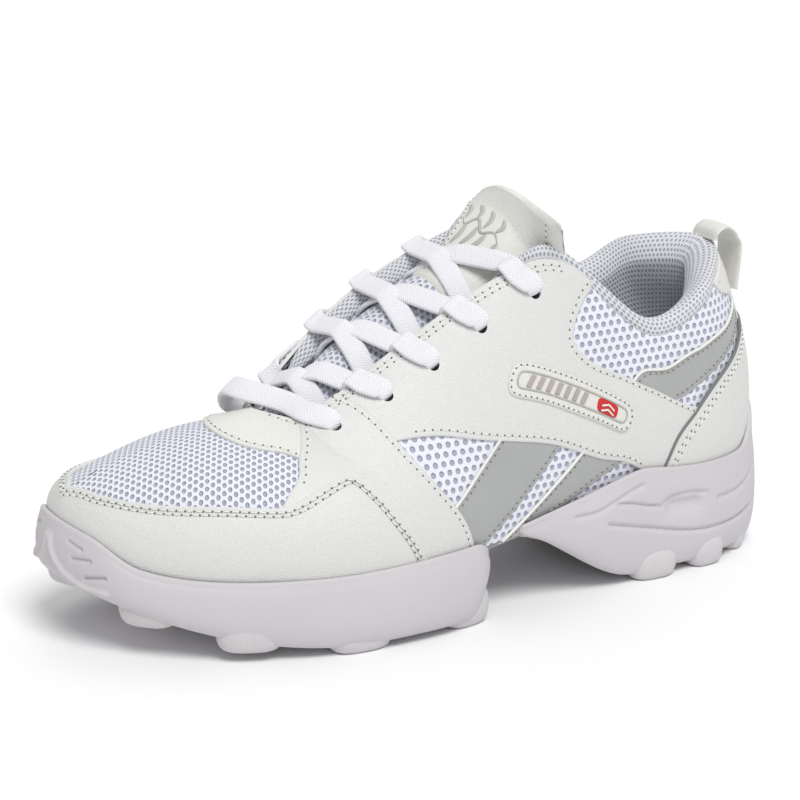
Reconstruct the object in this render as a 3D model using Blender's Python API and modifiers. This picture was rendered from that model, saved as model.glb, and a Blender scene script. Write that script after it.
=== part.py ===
"""Split-sole cheer shoe, left foot, one shoe.

Metres, +Z up, toe toward -X, outer side toward -Y, standing on z = 0.
The upper is one skin over a shoe last. A place on it is (u, t): u is a station, 0 at the toe and 11 at the
heel, positive on the outer side and negative on the inner side; t is 0 at the bite line of the sole and 1 at
the top line (vamp ridge, throat edge, collar). t above 1 crosses the vamp ridge to the other side.
Every panel is an outline in (u, t) and a depth below that skin, in millimetres.
"""
import bpy
import bmesh
import math
import numpy as np
from mathutils import Vector
from mathutils.geometry import delaunay_2d_cdt

MM = 0.001
LAST_CENTRE = (6.26, -0.63)   # the shoe's middle in the tables below, x and y in mm
STATIONS = 11

# bite line and top line, station by station, toe to heel (x, y, z in mm)
BITE_OUTER = [(-127, 14, 38), (-120, -6, 34), (-106, -22, 29), (-84, -36, 27), (-52, -47, 27), (-20, -48, 28),
              (8, -43, 29), (40, -38, 34), (72, -35, 40), (104, -32, 38), (129, -20, 38), (139, 0, 44)]
BITE_INNER = [(-127, 14, 38), (-123, 32, 37), (-108, 43, 32), (-84, 47, 28), (-54, 46, 27), (-22, 40, 28),
              (8, 33, 30), (40, 30, 35), (72, 31, 40), (104, 30, 38), (129, 19, 38), (139, 0, 44)]
TOP_OUTER = [(-118, 14, 56), (-107, 11, 61), (-95, 9, 65), (-80, 6, 69), (-61, 1, 74), (-50, -14, 72),
             (-12, -16, 95), (24, -19, 114), (48, -23, 117), (80, -30, 91), (110, -24, 100), (128, 0, 110)]
TOP_INNER = [(-118, 14, 56), (-107, 11, 61), (-95, 9, 65), (-80, 6, 69), (-61, 1, 74), (-57, 13.5, 72),
             (-16, 21.5, 102), (22, 22.5, 119), (50, 25, 118), (82, 28, 99), (108, 26, 107.5), (128, 0, 110)]
# the rib at each station: how far it swells out, how far it rises, and the reach and fall of its top end
RIB_SWELL = [2, 3, 4, 5, 5, 4, 4, 4, 3, 3, 5, 6]
RIB_RISE = [13, 15, 17, 20, 23, 25, 27, 29, 28, 24, 26, 28]
RIB_REACH = [6, 12, 20, 26, 28, 26, 22, 20, 16, 14, 14, 14]
RIB_FALL = [0, 0, 0, 0, 0.25, 0.5, 0.9, 1.2, 2.0, 3.0, 3.0, 3.0]
FLOOR_HEIGHT = [34, 30, 25.5, 23, 23, 24, 25.5, 29.5, 33, 33.5, 33, 33]
THROAT = 4                 # station of the middle of the throat's front edge

# layers of the upper, mm from the skin, middle of each layer and its thickness
OVERLAY, OVERLAY_THICK = -0.2, 1.0
STRIPE, STRIPE_THICK = -1.45, 0.7
MESH, MESH_THICK = -2.6, 0.8
STIFFENER, STIFFENER_THICK = -3.9, 0.7
LINING, LINING_THICK = -5.6, 1.0
COLLAR_FOAM, COLLAR_FOAM_THICK = -5.5, 3.0
BADGE, BADGE_THICK = 1.35, 1.3
SEAM = 0.3                 # each panel stops this far short of a shared seam
CUP_GAP = 0.75             # inner face of the sole's cup wall, mm outside the skin

# lattice of the panels' inner points
U_SCALE, T_SCALE = 28.0, 75.0
U_STEP, T_STEP = 1.0 / 3.0, 1.0 / 8.0

# sole
SOLE_UNDERSIDE = 5.5
SPRING_START, SPRING_RATE = -55.0, 0.0032
FOREFOOT_END, HEEL_START = 5.95, 6.35
RAMP_START, RAMP_LENGTH = 20.0, 42.0

# shoelace
LACE_RADIUS = 1.4
EYELETS = [(5.15, 0.87), (5.62, 0.83), (6.10, 0.81), (6.62, 0.82), (7.35, 0.83)]
EYELET_RADIUS = 2.9

LEATHER = (0.78, 0.78, 0.75, 1.0)
SOLE_WHITE = (0.80, 0.78, 0.80, 1.0)
MESH_WHITE = (0.80, 0.81, 0.88, 1.0)
STRIPE_GREY = (0.36, 0.37, 0.34, 1.0)
LINING_GREY = (0.62, 0.63, 0.66, 1.0)
FOAM_CREAM = (0.75, 0.72, 0.62, 1.0)
BOARD_TAN = (0.55, 0.47, 0.36, 1.0)
LACE_WHITE = (0.85, 0.85, 0.87, 1.0)


# ---------------------------------------------------------------- scene and small helpers
def clear_scene():
    for obj in list(bpy.data.objects):
        bpy.data.objects.remove(obj, do_unlink=True)


def collection(name):
    found = bpy.data.collections.new(name)
    bpy.context.scene.collection.children.link(found)
    return found


def material(name, colour, roughness):
    mat = bpy.data.materials.new(name)
    mat.use_nodes = True
    shader = mat.node_tree.nodes["Principled BSDF"]
    shader.inputs["Base Color"].default_value = colour
    shader.inputs["Roughness"].default_value = roughness
    shader.inputs["Metallic"].default_value = 0.0
    return mat


def smooth(value, low, high):
    x = np.clip((np.asarray(value, float) - low) / (high - low), 0.0, 1.0)
    return x * x * (3.0 - 2.0 * x)


def unit(vectors):
    return vectors / np.maximum(np.linalg.norm(vectors, axis=-1, keepdims=True), 1e-12)


def link(name, verts, faces, colour, roughness, pivot=(0.0, 0.0, 0.0)):
    """Make one mesh object from millimetre points in world space, with its origin at the pivot."""
    points = (np.asarray(verts, float) - np.asarray(pivot, float)) * MM
    mesh = bpy.data.meshes.new(name)
    mesh.from_pydata([tuple(p) for p in points], [], faces)
    bm = bmesh.new()
    bm.from_mesh(mesh)
    bmesh.ops.remove_doubles(bm, verts=bm.verts, dist=0.00002)
    bmesh.ops.dissolve_degenerate(bm, edges=bm.edges, dist=0.00001)
    bmesh.ops.recalc_face_normals(bm, faces=bm.faces)
    bm.to_mesh(mesh)
    bm.free()
    mesh.shade_smooth()
    mesh.set_sharp_from_angle(angle=math.radians(40))
    obj = bpy.data.objects.new(name, mesh)
    obj.location = Vector(pivot) * MM
    PARTS.objects.link(obj)
    obj.data.materials.append(material(name, colour, roughness))
    return obj


# ---------------------------------------------------------------- the skin over the last
def closed_ring(outer, inner):
    ring = np.array(list(outer) + list(inner)[STATIONS - 1:0:-1], float)
    return ring


def along_ring(ring, u, corners=()):
    """Catmull-Rom curve through a closed ring of stations, with sharp turns at the corners."""
    count = len(ring)
    u = np.asarray(u, float) % count
    i = np.floor(u).astype(int) % count
    f = (u - np.floor(u))[..., None]
    a, b, c, d = ring[(i - 1) % count], ring[i], ring[(i + 1) % count], ring[(i + 2) % count]
    for corner in corners:
        here = (i == corner % count)[..., None]
        after = ((i + 1) % count == corner % count)[..., None]
        a, d = np.where(here, 2 * b - c, a), np.where(after, 2 * c - b, d)
    return 0.5 * (2 * b + (c - a) * f + (2 * a - 5 * b + 4 * c - d) * f * f + (3 * b - a - 3 * c + d) * f ** 3)


SHIFT = np.array([*LAST_CENTRE, 0.0])
BITE = closed_ring(BITE_OUTER, BITE_INNER) - SHIFT
TOP = closed_ring(TOP_OUTER, TOP_INNER) - SHIFT
RIB = closed_ring(*[np.stack([RIB_SWELL, RIB_RISE, RIB_REACH, RIB_FALL], 1)] * 2)
FLOOR = closed_ring(*[[(h,) for h in FLOOR_HEIGHT]] * 2)
RIDGE_SLOPE, RIDGE_FLATTEN = 0.45, 0.05   # rise of the vamp ridge per mm, and its drop per station


def outward(u):
    step = 1e-3
    along = along_ring(BITE, u + step) - along_ring(BITE, u - step)
    flat = np.stack([along[..., 1], -along[..., 0], np.zeros_like(along[..., 0])], -1)
    return unit(flat)


TOP_CORNERS = (0, THROAT, -THROAT, THROAT + 1, -THROAT - 1)


def rib_point(u, t):
    """Bezier rib from the bite line to the top line."""
    t = t[..., None]
    foot = along_ring(BITE, u)
    head = along_ring(TOP, u, TOP_CORNERS)
    normal = outward(u)
    swell, rise, reach, fall = [along_ring(RIB, u)[..., k:k + 1] for k in range(4)]
    station = np.minimum(u % 22.0, 22.0 - u % 22.0)[..., None]
    slope = RIDGE_SLOPE - RIDGE_FLATTEN * station
    fall = fall - slope * normal[..., :1] * (1.0 - smooth(station, 4.0, 5.0))
    up = np.array([0.0, 0.0, 1.0])
    low_handle = foot + normal * swell + up * rise
    high_handle = head + unit(normal - up * fall) * reach
    s = 1.0 - t
    return s ** 3 * foot + 3 * s * s * t * low_handle + 3 * s * t * t * high_handle + t ** 3 * head


def skin(u, t, offset=0.0):
    """World point in mm at (u, t), moved out of the skin by the offset."""
    u, t = np.broadcast_arrays(np.asarray(u, float), np.asarray(t, float))

    def place(uu, tt):
        over = tt > 1.0
        return rib_point(np.where(over, -uu, uu), np.where(over, 2.0 - tt, tt))
    step = 2e-3
    point = place(u, t)
    near = np.where((np.abs(u) < 0.4) & (np.abs(t - 1.0) < 0.06), np.where(t > 1.0, 1.06, 0.94), t)
    across = place(u + step, near) - place(u - step, near)
    inside = np.where(t > 1.0, 1.0, -1.0) * step
    upward = (place(u, near + inside) - place(u, near)) / inside[..., None] * step
    normal = unit(np.cross(across, upward))
    normal = normal * np.where((normal * outward(np.where(t > 1.0, -u, u))).sum(-1, keepdims=True)
                               + 0.6 * normal[..., 2:] < 0, -1.0, 1.0)
    return point + normal * np.asarray(offset, float)[..., None]


def skin_one(u, t, offset=0.0):
    return skin(np.array([u]), np.array([t]), np.array([offset]))[0]


# ---------------------------------------------------------------- outlines in (u, t)
def trace(points, spacing=8.0):
    """Smooth open curve through (u, t) points, sampled about every spacing mm."""
    pts = np.asarray(points, float)
    if len(pts) == 2:
        length = np.linalg.norm((pts[1] - pts[0]) * (U_SCALE, T_SCALE))
        f = np.linspace(0, 1, max(2, int(round(length / spacing)) + 1))[:, None]
        return pts[0] * (1 - f) + pts[1] * f
    padded = np.vstack([2 * pts[0] - pts[1], pts, 2 * pts[-1] - pts[-2]])
    fine = []
    for a, b, c, d in zip(padded, padded[1:], padded[2:], padded[3:]):
        f = np.linspace(0, 1, 12, endpoint=False)[:, None]
        fine.append(0.5 * (2 * b + (c - a) * f + (2 * a - 5 * b + 4 * c - d) * f * f
                           + (3 * b - a - 3 * c + d) * f ** 3))
    fine = np.vstack(fine + [pts[-1:]])
    run = np.concatenate([[0], np.cumsum(np.linalg.norm(np.diff(fine * (U_SCALE, T_SCALE), axis=0), axis=1))])
    want = np.linspace(0, run[-1], max(3, int(round(run[-1] / spacing)) + 1))
    return np.stack([np.interp(want, run, fine[:, 0]), np.interp(want, run, fine[:, 1])], 1)


def outline(*edges):
    """Join traced edges end to end into one closed loop."""
    loop = []
    for edge in edges:
        for point in edge:
            if not loop or np.hypot(*((np.asarray(point) - loop[-1]) * (U_SCALE, T_SCALE))) > 0.4:
                loop.append(np.asarray(point, float))
    if np.hypot(*((loop[0] - loop[-1]) * (U_SCALE, T_SCALE))) < 0.4:
        loop.pop()
    return np.array(loop)


def mirrored(loop):
    """The same outline on the inner side of the shoe."""
    return np.stack([-loop[:, 0], loop[:, 1]], 1)[::-1]


def over_ridge(edge):
    """An edge on the outer side carried over the vamp ridge to the inner side."""
    edge = np.asarray(edge, float)
    low = np.minimum(edge[:, 1], np.where(edge[:, 0] > THROAT, 0.998, 1.0))
    return np.vstack([np.stack([edge[:, 0], low], 1), np.stack([edge[:, 0], 2.0 - low], 1)[::-1]])


def inset(loop, distance=SEAM):
    """Move an outline inward by a distance in mm, measured on the skin."""
    step = 2e-3
    ahead, behind = np.roll(loop, -1, 0), np.roll(loop, 1, 0)
    base = skin(loop[:, 0], loop[:, 1])
    d_u = (skin(loop[:, 0] + step, loop[:, 1]) - skin(loop[:, 0] - step, loop[:, 1])) / (2 * step)
    away = np.where(loop[:, 1] > 1.0, step, -step)
    d_t = (skin(loop[:, 0], loop[:, 1] + away) - base) / away[:, None]
    area = 0.5 * np.sum(loop[:, 0] * ahead[:, 1] - ahead[:, 0] * loop[:, 1])
    turn = unit((ahead - loop) * (U_SCALE, T_SCALE)) + unit((loop - behind) * (U_SCALE, T_SCALE))
    inward = unit(np.stack([-turn[:, 1], turn[:, 0]], 1)) * np.sign(area)
    size = np.linalg.norm(inward[:, :1] / U_SCALE * d_u + inward[:, 1:] / T_SCALE * d_t, axis=1)[:, None]
    return loop + inward / (U_SCALE, T_SCALE) * distance / size


def inside_loop(points, loop):
    x, y = points[:, 0], points[:, 1]
    hit = np.zeros(len(points), bool)
    for (x1, y1), (x2, y2) in zip(loop, np.roll(loop, -1, 0)):
        crosses = (y1 > y) != (y2 > y)
        if y1 != y2:
            hit ^= crosses & (x < (x2 - x1) * (y - y1) / (y2 - y1) + x1)
    return hit


def distance_to_loop(points, loop):
    best = np.full(len(points), 1e9)
    for a, b in zip(loop, np.roll(loop, -1, 0)):
        run = b - a
        f = np.clip(((points - a) @ run) / max(run @ run, 1e-9), 0, 1)[:, None]
        best = np.minimum(best, np.linalg.norm(points - a - f * run, axis=1))
    return best


def fill(loops):
    """Triangles inside the first loop and outside the others, with lattice points between."""
    scaled = [loop * (U_SCALE, T_SCALE) for loop in loops]
    low, high = loops[0].min(0), loops[0].max(0)
    us = np.arange(math.ceil(low[0] / U_STEP), high[0] / U_STEP + 1) * U_STEP
    ts = np.arange(math.ceil(low[1] / T_STEP), high[1] / T_STEP + 1) * T_STEP
    grid = np.stack(np.meshgrid(us, ts, indexing="ij"), -1)
    grid[..., 0] += 0.5 * U_STEP * (np.round(grid[..., 1] / T_STEP) % 2)
    grid = grid.reshape(-1, 2) * (U_SCALE, T_SCALE)
    keep = inside_loop(grid, scaled[0]) & (distance_to_loop(grid, scaled[0]) > 3.0)
    for hole in scaled[1:]:
        keep &= ~inside_loop(grid, hole) & (distance_to_loop(grid, hole) > 2.0)
    points, edges = [], []
    for loop in scaled:
        start = len(points)
        points += [Vector(p) for p in loop]
        edges += [(start + k, start + (k + 1) % len(loop)) for k in range(len(loop))]
    points += [Vector(p) for p in grid[keep]]
    verts, _, faces, *_ = delaunay_2d_cdt(points, edges, [], 1, 1e-4)
    verts = np.array([tuple(v) for v in verts])
    centres = np.array([verts[list(f)].mean(0) for f in faces])
    good = inside_loop(centres, scaled[0])
    for hole in scaled[1:]:
        good &= ~inside_loop(centres, hole)
    return verts / (U_SCALE, T_SCALE), [tuple(f) for f, ok in zip(faces, good) if ok]


def panel(name, loop, depth, thickness, colour, roughness, holes=()):
    """A sewn panel: the skin inside the outline at its depth, given its thickness both ways."""
    uv, faces = fill([loop, *holes])
    middle = depth(uv[:, 0], uv[:, 1]) if callable(depth) else np.full(len(uv), float(depth))
    obj = link(name, skin(uv[:, 0], uv[:, 1], middle), faces, colour, roughness)
    thick = obj.modifiers.new("thickness", "SOLIDIFY")
    thick.thickness = thickness * MM
    thick.offset = 0.0
    return obj


# ---------------------------------------------------------------- shared edges of the panels
def hem(u):
    """How far below the bite line the panels run, as t."""
    return -0.04 - 0.06 * smooth(np.abs(u), 10.2, 11.0)


def station_steps(start, end):
    """Both ends and every lattice station between them."""
    low, high = min(start, end), max(start, end)
    us = np.arange(math.ceil(low / U_STEP), high / U_STEP) * U_STEP
    us = np.concatenate([[low], us[(us > low + 0.05) & (us < high - 0.05)], [high]])
    return us if end > start else us[::-1]


def bottom(start, end):
    us = station_steps(start, end)
    return np.stack([us, hem(np.minimum(np.abs(us), 22.0 - np.abs(us)))], 1)


MUDGUARD_PEAK = [(3.45, 0.41), (3.65, 0.405), (3.9, 0.44), (4.2, 0.50), (4.5, 0.545), (4.68, 0.51)]
MUDGUARD_TOP = trace([(0, 0.62), (0.5, 0.585), (1.0, 0.53), (2.0, 0.49), (3.0, 0.44), (3.45, 0.41)])
MUDGUARD_SHOULDER = trace(MUDGUARD_PEAK, 6.0)
MUDGUARD_REAR = trace([(4.68, 0.51), (4.72, 0.38), (4.75, 0.24), (4.86, 0.09), (5.0, -0.04)])
STRAP_TOP_FRONT = trace([(4.95, 1.0), (4.65, 0.88), (4.15, 0.67)])
STRAP_LOW_FRONT = trace([(4.15, 0.67), (3.95, 0.55), (3.72, 0.46), (3.45, 0.41)])
STRAP_REAR_TOP = trace([(5.33, 1.0), (5.40, 0.88), (5.42, 0.77), (5.40, 0.64)])
STRAP_REAR_LOW = trace([(5.40, 0.64), (5.38, 0.50), (5.40, 0.33), (5.47, 0.22), (5.60, 0.08), (5.72, -0.04)])
THROAT_LOWER = trace([(4.15, 0.67), (3.65, 0.77), (3.35, 0.88), (3.15, 1.0)])
QUARTER_LOWER = trace([(5.40, 0.64), (5.70, 0.56), (6.12, 0.43), (6.5, 0.34), (7.0, 0.24), (7.5, 0.12),
                       (7.9, 0.05), (8.2, -0.04)])
COUNTER_LOW_FRONT = trace([(8.36, -0.04), (8.62, 0.15), (9.08, 0.335)])
COUNTER_TOP = trace([(9.08, 0.335), (9.45, 0.44), (9.8, 0.49), (10.2, 0.52), (10.62, 0.53), (11.0, 0.53)], 6.0)
COLLAR_FRONT = trace([(9.08, 0.335), (8.62, 0.395), (8.30, 0.405), (7.95, 0.44), (7.73, 0.49), (7.62, 0.57),
                      (7.73, 0.64), (8.00, 0.74), (8.25, 0.88), (8.33, 1.0)], 6.0)
MESH_TOP, MESH_COLLAR_TOP = 0.95, 0.915
LINING_JOIN = trace([(5.0, -0.04), (5.0, 0.50), (4.76, 0.70), (4.70, MESH_TOP)])
TAB_SIDE = trace([(10.15, 0.95), (10.3, 0.84), (10.55, 0.72), (10.62, 0.53)], 6.0)


def top_edge(start, end, t=1.0):
    us = station_steps(start, end)
    return np.stack([us, np.full(len(us), t)], 1)


def around_heel(edge):
    """An edge on the outer side continued round the heel to its mirror image on the inner side."""
    edge = np.asarray(edge, float)
    return np.vstack([edge, np.stack([22.0 - edge[::-1, 0], edge[::-1, 1]], 1)])


def eyelet_holes():
    turn = np.linspace(0, 2 * math.pi, 8, endpoint=False)
    holes = []
    step = 1e-3
    for u, t in EYELETS:
        d_u = np.linalg.norm(skin_one(u + step, t) - skin_one(u - step, t)) / (2 * step)
        d_t = np.linalg.norm(skin_one(u, t + step) - skin_one(u, t - step)) / (2 * step)
        holes.append(np.stack([u + EYELET_RADIUS / d_u * np.cos(turn), t + EYELET_RADIUS / d_t * np.sin(turn)], 1))
    return holes


def ridge_slit(loop_edge):
    """Close an outline that starts and ends on the toe's middle line, along that line."""
    start = loop_edge[0, 1]
    ts = np.linspace(2.0 - start, start, 2 * max(3, int((1.0 - start) * 8)) + 1)
    return np.stack([np.zeros(len(ts)), ts], 1)


# ---------------------------------------------------------------- the upper
def lining_depth(u, t):
    station = np.abs(np.where(np.asarray(t) > 1.0, -u, u))
    station = np.minimum(station, 22.0 - station)
    collar = smooth(station, 7.4, 8.3) * smooth(t, 0.50, 0.64)
    unstiffened = smooth(station, 2.4, 3.2) * (1.0 - smooth(station, 7.6, 8.6))
    return LINING - 2.7 * collar + 1.7 * unstiffened


def vamp():
    hidden_edge = trace([(0, 0.56), (0.5, 0.53), (1.0, 0.48), (2.0, 0.43), (3.0, 0.38), (3.6, 0.34), (4.2, 0.40),
                         (4.6, 0.48), (4.58, 0.72), (4.4, 0.92), (4.2, 0.96)])
    half = np.vstack([hidden_edge, [(3.9, 0.995)]])
    edge = over_ridge(half)
    panel("vamp_mesh", outline(edge, ridge_slit(edge)), MESH, MESH_THICK, MESH_WHITE, 0.8)
    rear = LINING_JOIN - (0.10, 0.0)
    front = np.vstack([bottom(0, rear[0, 0]), rear, trace([rear[-1], (4.2, 0.965)]), [(3.9, 0.995)]])
    edge = over_ridge(front)
    panel("vamp_lining", outline(edge, ridge_slit(edge)), lining_depth, LINING_THICK, LINING_GREY, 0.85)
    mud = np.vstack([MUDGUARD_TOP, MUDGUARD_SHOULDER, MUDGUARD_REAR])
    loop = outline(mud[::-1], np.stack([-mud[:, 0], mud[:, 1]], 1), bottom(-5.0, 5.0))
    panel("mudguard", inset(loop), OVERLAY, OVERLAY_THICK, LEATHER, 0.5)
    side = np.vstack([STRAP_TOP_FRONT, THROAT_LOWER])
    ring = over_ridge(side)
    front_edge = [(4.95, 1.002), (4.5, 1.002), (4.0, 1.0), (4.5, 0.998), (4.95, 0.998)]
    panel("throat_piece", inset(outline(ring, front_edge), 3.5 * SEAM), OVERLAY, OVERLAY_THICK, LEATHER, 0.5)
    low, high = trace([(-2, 0.05), (0, 0.02), (2, 0.05)]), trace([(2, 0.30), (1.4, 0.62), (0, 0.78),
                                                                  (-1.4, 0.62), (-2, 0.30)])
    panel("toe_puff", outline(low, high), STIFFENER, STIFFENER_THICK, BOARD_TAN, 0.7)


def straps_and_quarters():
    strap = outline(STRAP_TOP_FRONT, STRAP_LOW_FRONT, MUDGUARD_SHOULDER, MUDGUARD_REAR, bottom(5.0, 5.72),
                    STRAP_REAR_LOW[::-1], STRAP_REAR_TOP[::-1], top_edge(5.33, 4.95))
    quarter = outline(STRAP_REAR_TOP, QUARTER_LOWER, bottom(8.2, 8.36), COUNTER_LOW_FRONT, COLLAR_FRONT,
                      top_edge(8.33, 5.33))
    front = LINING_JOIN + (0.03, 0.0)
    back = 10.93
    mesh = outline(bottom(front[0, 0], back), trace([(back, -0.10), (back, MESH_COLLAR_TOP)]),
                   top_edge(back, 8.33, MESH_COLLAR_TOP), top_edge(8.1, front[-1, 0], MESH_TOP), front[::-1])
    holes = eyelet_holes()
    for side, flip in (("outer", lambda loop: loop), ("inner", mirrored)):
        first, rest = [flip(holes[0])], [flip(h) for h in holes[1:]]
        panel("front_strap_" + side, inset(flip(strap)), OVERLAY, OVERLAY_THICK, LEATHER, 0.5, first)
        panel("quarter_overlay_" + side, inset(flip(quarter)), OVERLAY, OVERLAY_THICK, LEATHER, 0.5, rest)
        panel("quarter_mesh_" + side, flip(mesh), MESH, MESH_THICK, MESH_WHITE, 0.8, first + rest)
        panel("quarter_lining_" + side, flip(mesh), lining_depth, LINING_THICK, LINING_GREY, 0.85, first + rest)


def stripes():
    shapes = {"front": [(6.42, 0.42), (7.02, 0.28), (6.4, 0.11), (5.78, -0.03), (5.52, 0.05), (5.47, 0.23)],
              "middle": [(7.32, 0.21), (7.86, 0.09), (7.2, 0.03), (6.6, -0.035), (6.14, -0.035), (6.8, 0.09)],
              "rear": [(8.23, 0.38), (8.60, 0.54), (9.20, 0.69), (9.7, 0.70), (10.15, 0.67), (10.42, 0.67),
                       (10.48, 0.57), (10.0, 0.555), (9.62, 0.53), (9.25, 0.49), (8.78, 0.37)]}
    for name, points in shapes.items():
        loop = outline(*[trace([a, b]) for a, b in zip(points, points[1:] + points[:1])])
        for side, shape in (("outer", loop), ("inner", mirrored(loop))):
            panel("stripe_%s_%s" % (name, side), shape, STRIPE, STRIPE_THICK, STRIPE_GREY, 0.45)


def badge():
    """A rounded bar sewn on the outer quarter, its long axis falling toward the heel."""
    start, end, half_width = np.array([6.86, 0.53]), np.array([7.84, 0.27]), 0.062
    turn = np.linspace(0, math.pi, 5)
    run = unit((end - start) * (32.0, 90.0)) / (32.0, 90.0)
    side = unit(np.array([-run[1] * 90.0, run[0] * 32.0])) / (32.0, 90.0)
    radius = half_width * 90.0
    cap_end = [end + radius * (math.cos(a - math.pi / 2) * run + math.sin(a - math.pi / 2) * side) for a in turn]
    cap_start = [start + radius * (math.cos(a + math.pi / 2) * run + math.sin(a + math.pi / 2) * side)
                 for a in turn]
    loop = outline(cap_end, trace([cap_end[-1], cap_start[0]]), cap_start, trace([cap_start[-1], cap_end[0]]))
    panel("side_badge", loop, BADGE, BADGE_THICK, (0.82, 0.81, 0.74, 1.0), 0.6)


def heel_parts():
    front = np.vstack([COUNTER_LOW_FRONT, COUNTER_TOP])
    loop = outline(around_heel(front), bottom(22.0 - 8.36, 8.36))
    panel("heel_counter_panel", inset(hemmed_heel(loop)), OVERLAY, OVERLAY_THICK, LEATHER, 0.5)
    side = TAB_SIDE[::-1]
    loop = outline(side, top_edge(10.15, 11.85, 0.95), np.stack([22.0 - side[::-1, 0], side[::-1, 1]], 1),
                   trace([(11.38, 0.53), (10.62, 0.53)], 5.0))
    panel("back_tab", inset(loop), OVERLAY, OVERLAY_THICK, LEATHER, 0.5)
    low, high = trace([(8.9, 0.02), (11.0, 0.0), (13.1, 0.02)]), trace([(13.1, 0.30), (12.2, 0.52), (11.0, 0.56),
                                                                        (9.8, 0.52), (8.9, 0.30)])
    panel("heel_stiffener", outline(low, high), STIFFENER, STIFFENER_THICK, BOARD_TAN, 0.7)
    low, high = trace([(8.35, 0.70), (9.5, 0.68), (11.0, 0.66), (12.5, 0.68), (13.65, 0.70)]), \
        trace([(13.65, 0.90), (11.0, 0.90), (8.35, 0.90)])
    panel("collar_foam", outline(low, high), COLLAR_FOAM, COLLAR_FOAM_THICK, FOAM_CREAM, 0.9)


def hemmed_heel(loop):
    """Drop the points on the heel's lower edge to the hem."""
    station = np.minimum(loop[:, 0], 22.0 - loop[:, 0])
    low = loop[:, 1] < -0.03
    loop = loop.copy()
    loop[low, 1] = hem(station[low])
    return loop


# ---------------------------------------------------------------- tubes
def rounded_path(points, count):
    pts = np.asarray(points, float)
    padded = np.vstack([2 * pts[0] - pts[1], pts, 2 * pts[-1] - pts[-2]])
    fine = []
    for a, b, c, d in zip(padded, padded[1:], padded[2:], padded[3:]):
        f = np.linspace(0, 1, 10, endpoint=False)[:, None]
        fine.append(0.5 * (2 * b + (c - a) * f + (2 * a - 5 * b + 4 * c - d) * f * f
                           + (3 * b - a - 3 * c + d) * f ** 3))
    fine = np.vstack(fine + [pts[-1:]])
    run = np.concatenate([[0], np.cumsum(np.linalg.norm(np.diff(fine, axis=0), axis=1))])
    want = np.linspace(0, run[-1], count)
    return np.stack([np.interp(want, run, fine[:, k]) for k in range(3)], 1)


def tube(name, points, radius, colour, roughness):
    data = bpy.data.curves.new(name, "CURVE")
    data.dimensions = "3D"
    spline = data.splines.new("POLY")
    spline.points.add(len(points) - 1)
    for slot, point in zip(spline.points, points):
        slot.co = (*(np.asarray(point) * MM), 1.0)
    data.bevel_depth = radius * MM
    data.bevel_resolution = 2
    data.use_fill_caps = True
    obj = bpy.data.objects.new(name, data)
    PARTS.objects.link(obj)
    data.materials.append(material(name, colour, roughness))
    return obj


def topline_roll():
    us = np.linspace(8.45, 22.0 - 8.45, 30)
    points = skin(us, np.full(30, 1.0), np.full(30, -4.4)) + np.array([0.0, 0.0, 1.6])
    tube("topline_roll", points, 2.9, LINING_GREY, 0.85)


def pull_loop():
    """A flat band bowed away from the heel, sewn down at both ends."""
    steps = [(0.68, 1.3), (0.76, 3.6), (0.85, 6.2), (0.94, 7.8), (1.0, 7.2)]
    path = [skin_one(11.0, t, off) for t, off in steps]
    top = skin_one(11.0, 1.0, 0.0)
    path += [top + np.array([3.5, 0, 7.5]), top + np.array([-2.5, 0, 7.0])]
    path = rounded_path(path, 13)
    across = np.gradient(path, axis=0)
    lean = unit(np.stack([across[:, 2], np.zeros(len(path)), -across[:, 0]], 1))
    half_width, half_thick = 7.0, 0.7
    verts = []
    for point, side in zip(path, lean):
        for y, z in ((-1, -1), (-1, 1), (1, 1), (1, -1)):
            verts.append(point + np.array([0, half_width * y, 0]) + side * half_thick * z)
    link("pull_loop", verts, tube_faces(len(path), 4), LEATHER, 0.6)


def tube_faces(rings, sides):
    faces = [tuple(range(sides))[::-1], tuple(range((rings - 1) * sides, rings * sides))]
    for r in range(rings - 1):
        for k in range(sides):
            a, b = r * sides + k, r * sides + (k + 1) % sides
            faces.append((a, b, b + sides, a + sides))
    return faces


# ---------------------------------------------------------------- tongue and lace
TONGUE_HINGE = np.array([36.0, 0.0, 122.0])
TONGUE_UNDER = -8.6        # depth of the tongue's top face under the eyestays
TONGUE_CREST = [(-66, 60.5), (-60, 65), (-50, 76.5), (-30, 92.5), (-12, 103.5), (6, 113.5), (24, 123.5), (38, 131)]
TONGUE_THICK = 4.5
TONGUE_EDGE = 0.97         # t at which the tongue leaves the eyestay's underside
BASE_START, BASE_END = 4.78, 7.5
FLEX_GAP = 0.12            # stations left free in front of the tip, so that it can fold forward
TONGUE_FRONT_BOW = 6.0     # the tongue's front end reaches this much further under the vamp in the middle
TIP_CORNERS = [(42, 24, 133), (41.5, 5, 138.5), (42, -25, 130.5)]


def crest_height(x):
    xs, zs = zip(*TONGUE_CREST)
    return np.interp(x + LAST_CENTRE[0], xs, zs)


def tongue_arch(u, across):
    """Top face of the tongue between the throat edges: across is 1 at the outer edge, -1 at the inner."""
    outer, inner = skin_one(u, TONGUE_EDGE, TONGUE_UNDER), skin_one(-u, TONGUE_EDGE, TONGUE_UNDER)
    point = 0.5 * (1 + across) * outer + 0.5 * (1 - across) * inner
    bow = TONGUE_FRONT_BOW * (1.0 - float(smooth(u, BASE_START, 5.5)))
    rise = crest_height(0.5 * (outer[0] + inner[0]) - bow) - 0.5 * (outer[2] + inner[2])
    return point + np.array([-bow, 0, rise]) * (1 - across * across)


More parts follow.
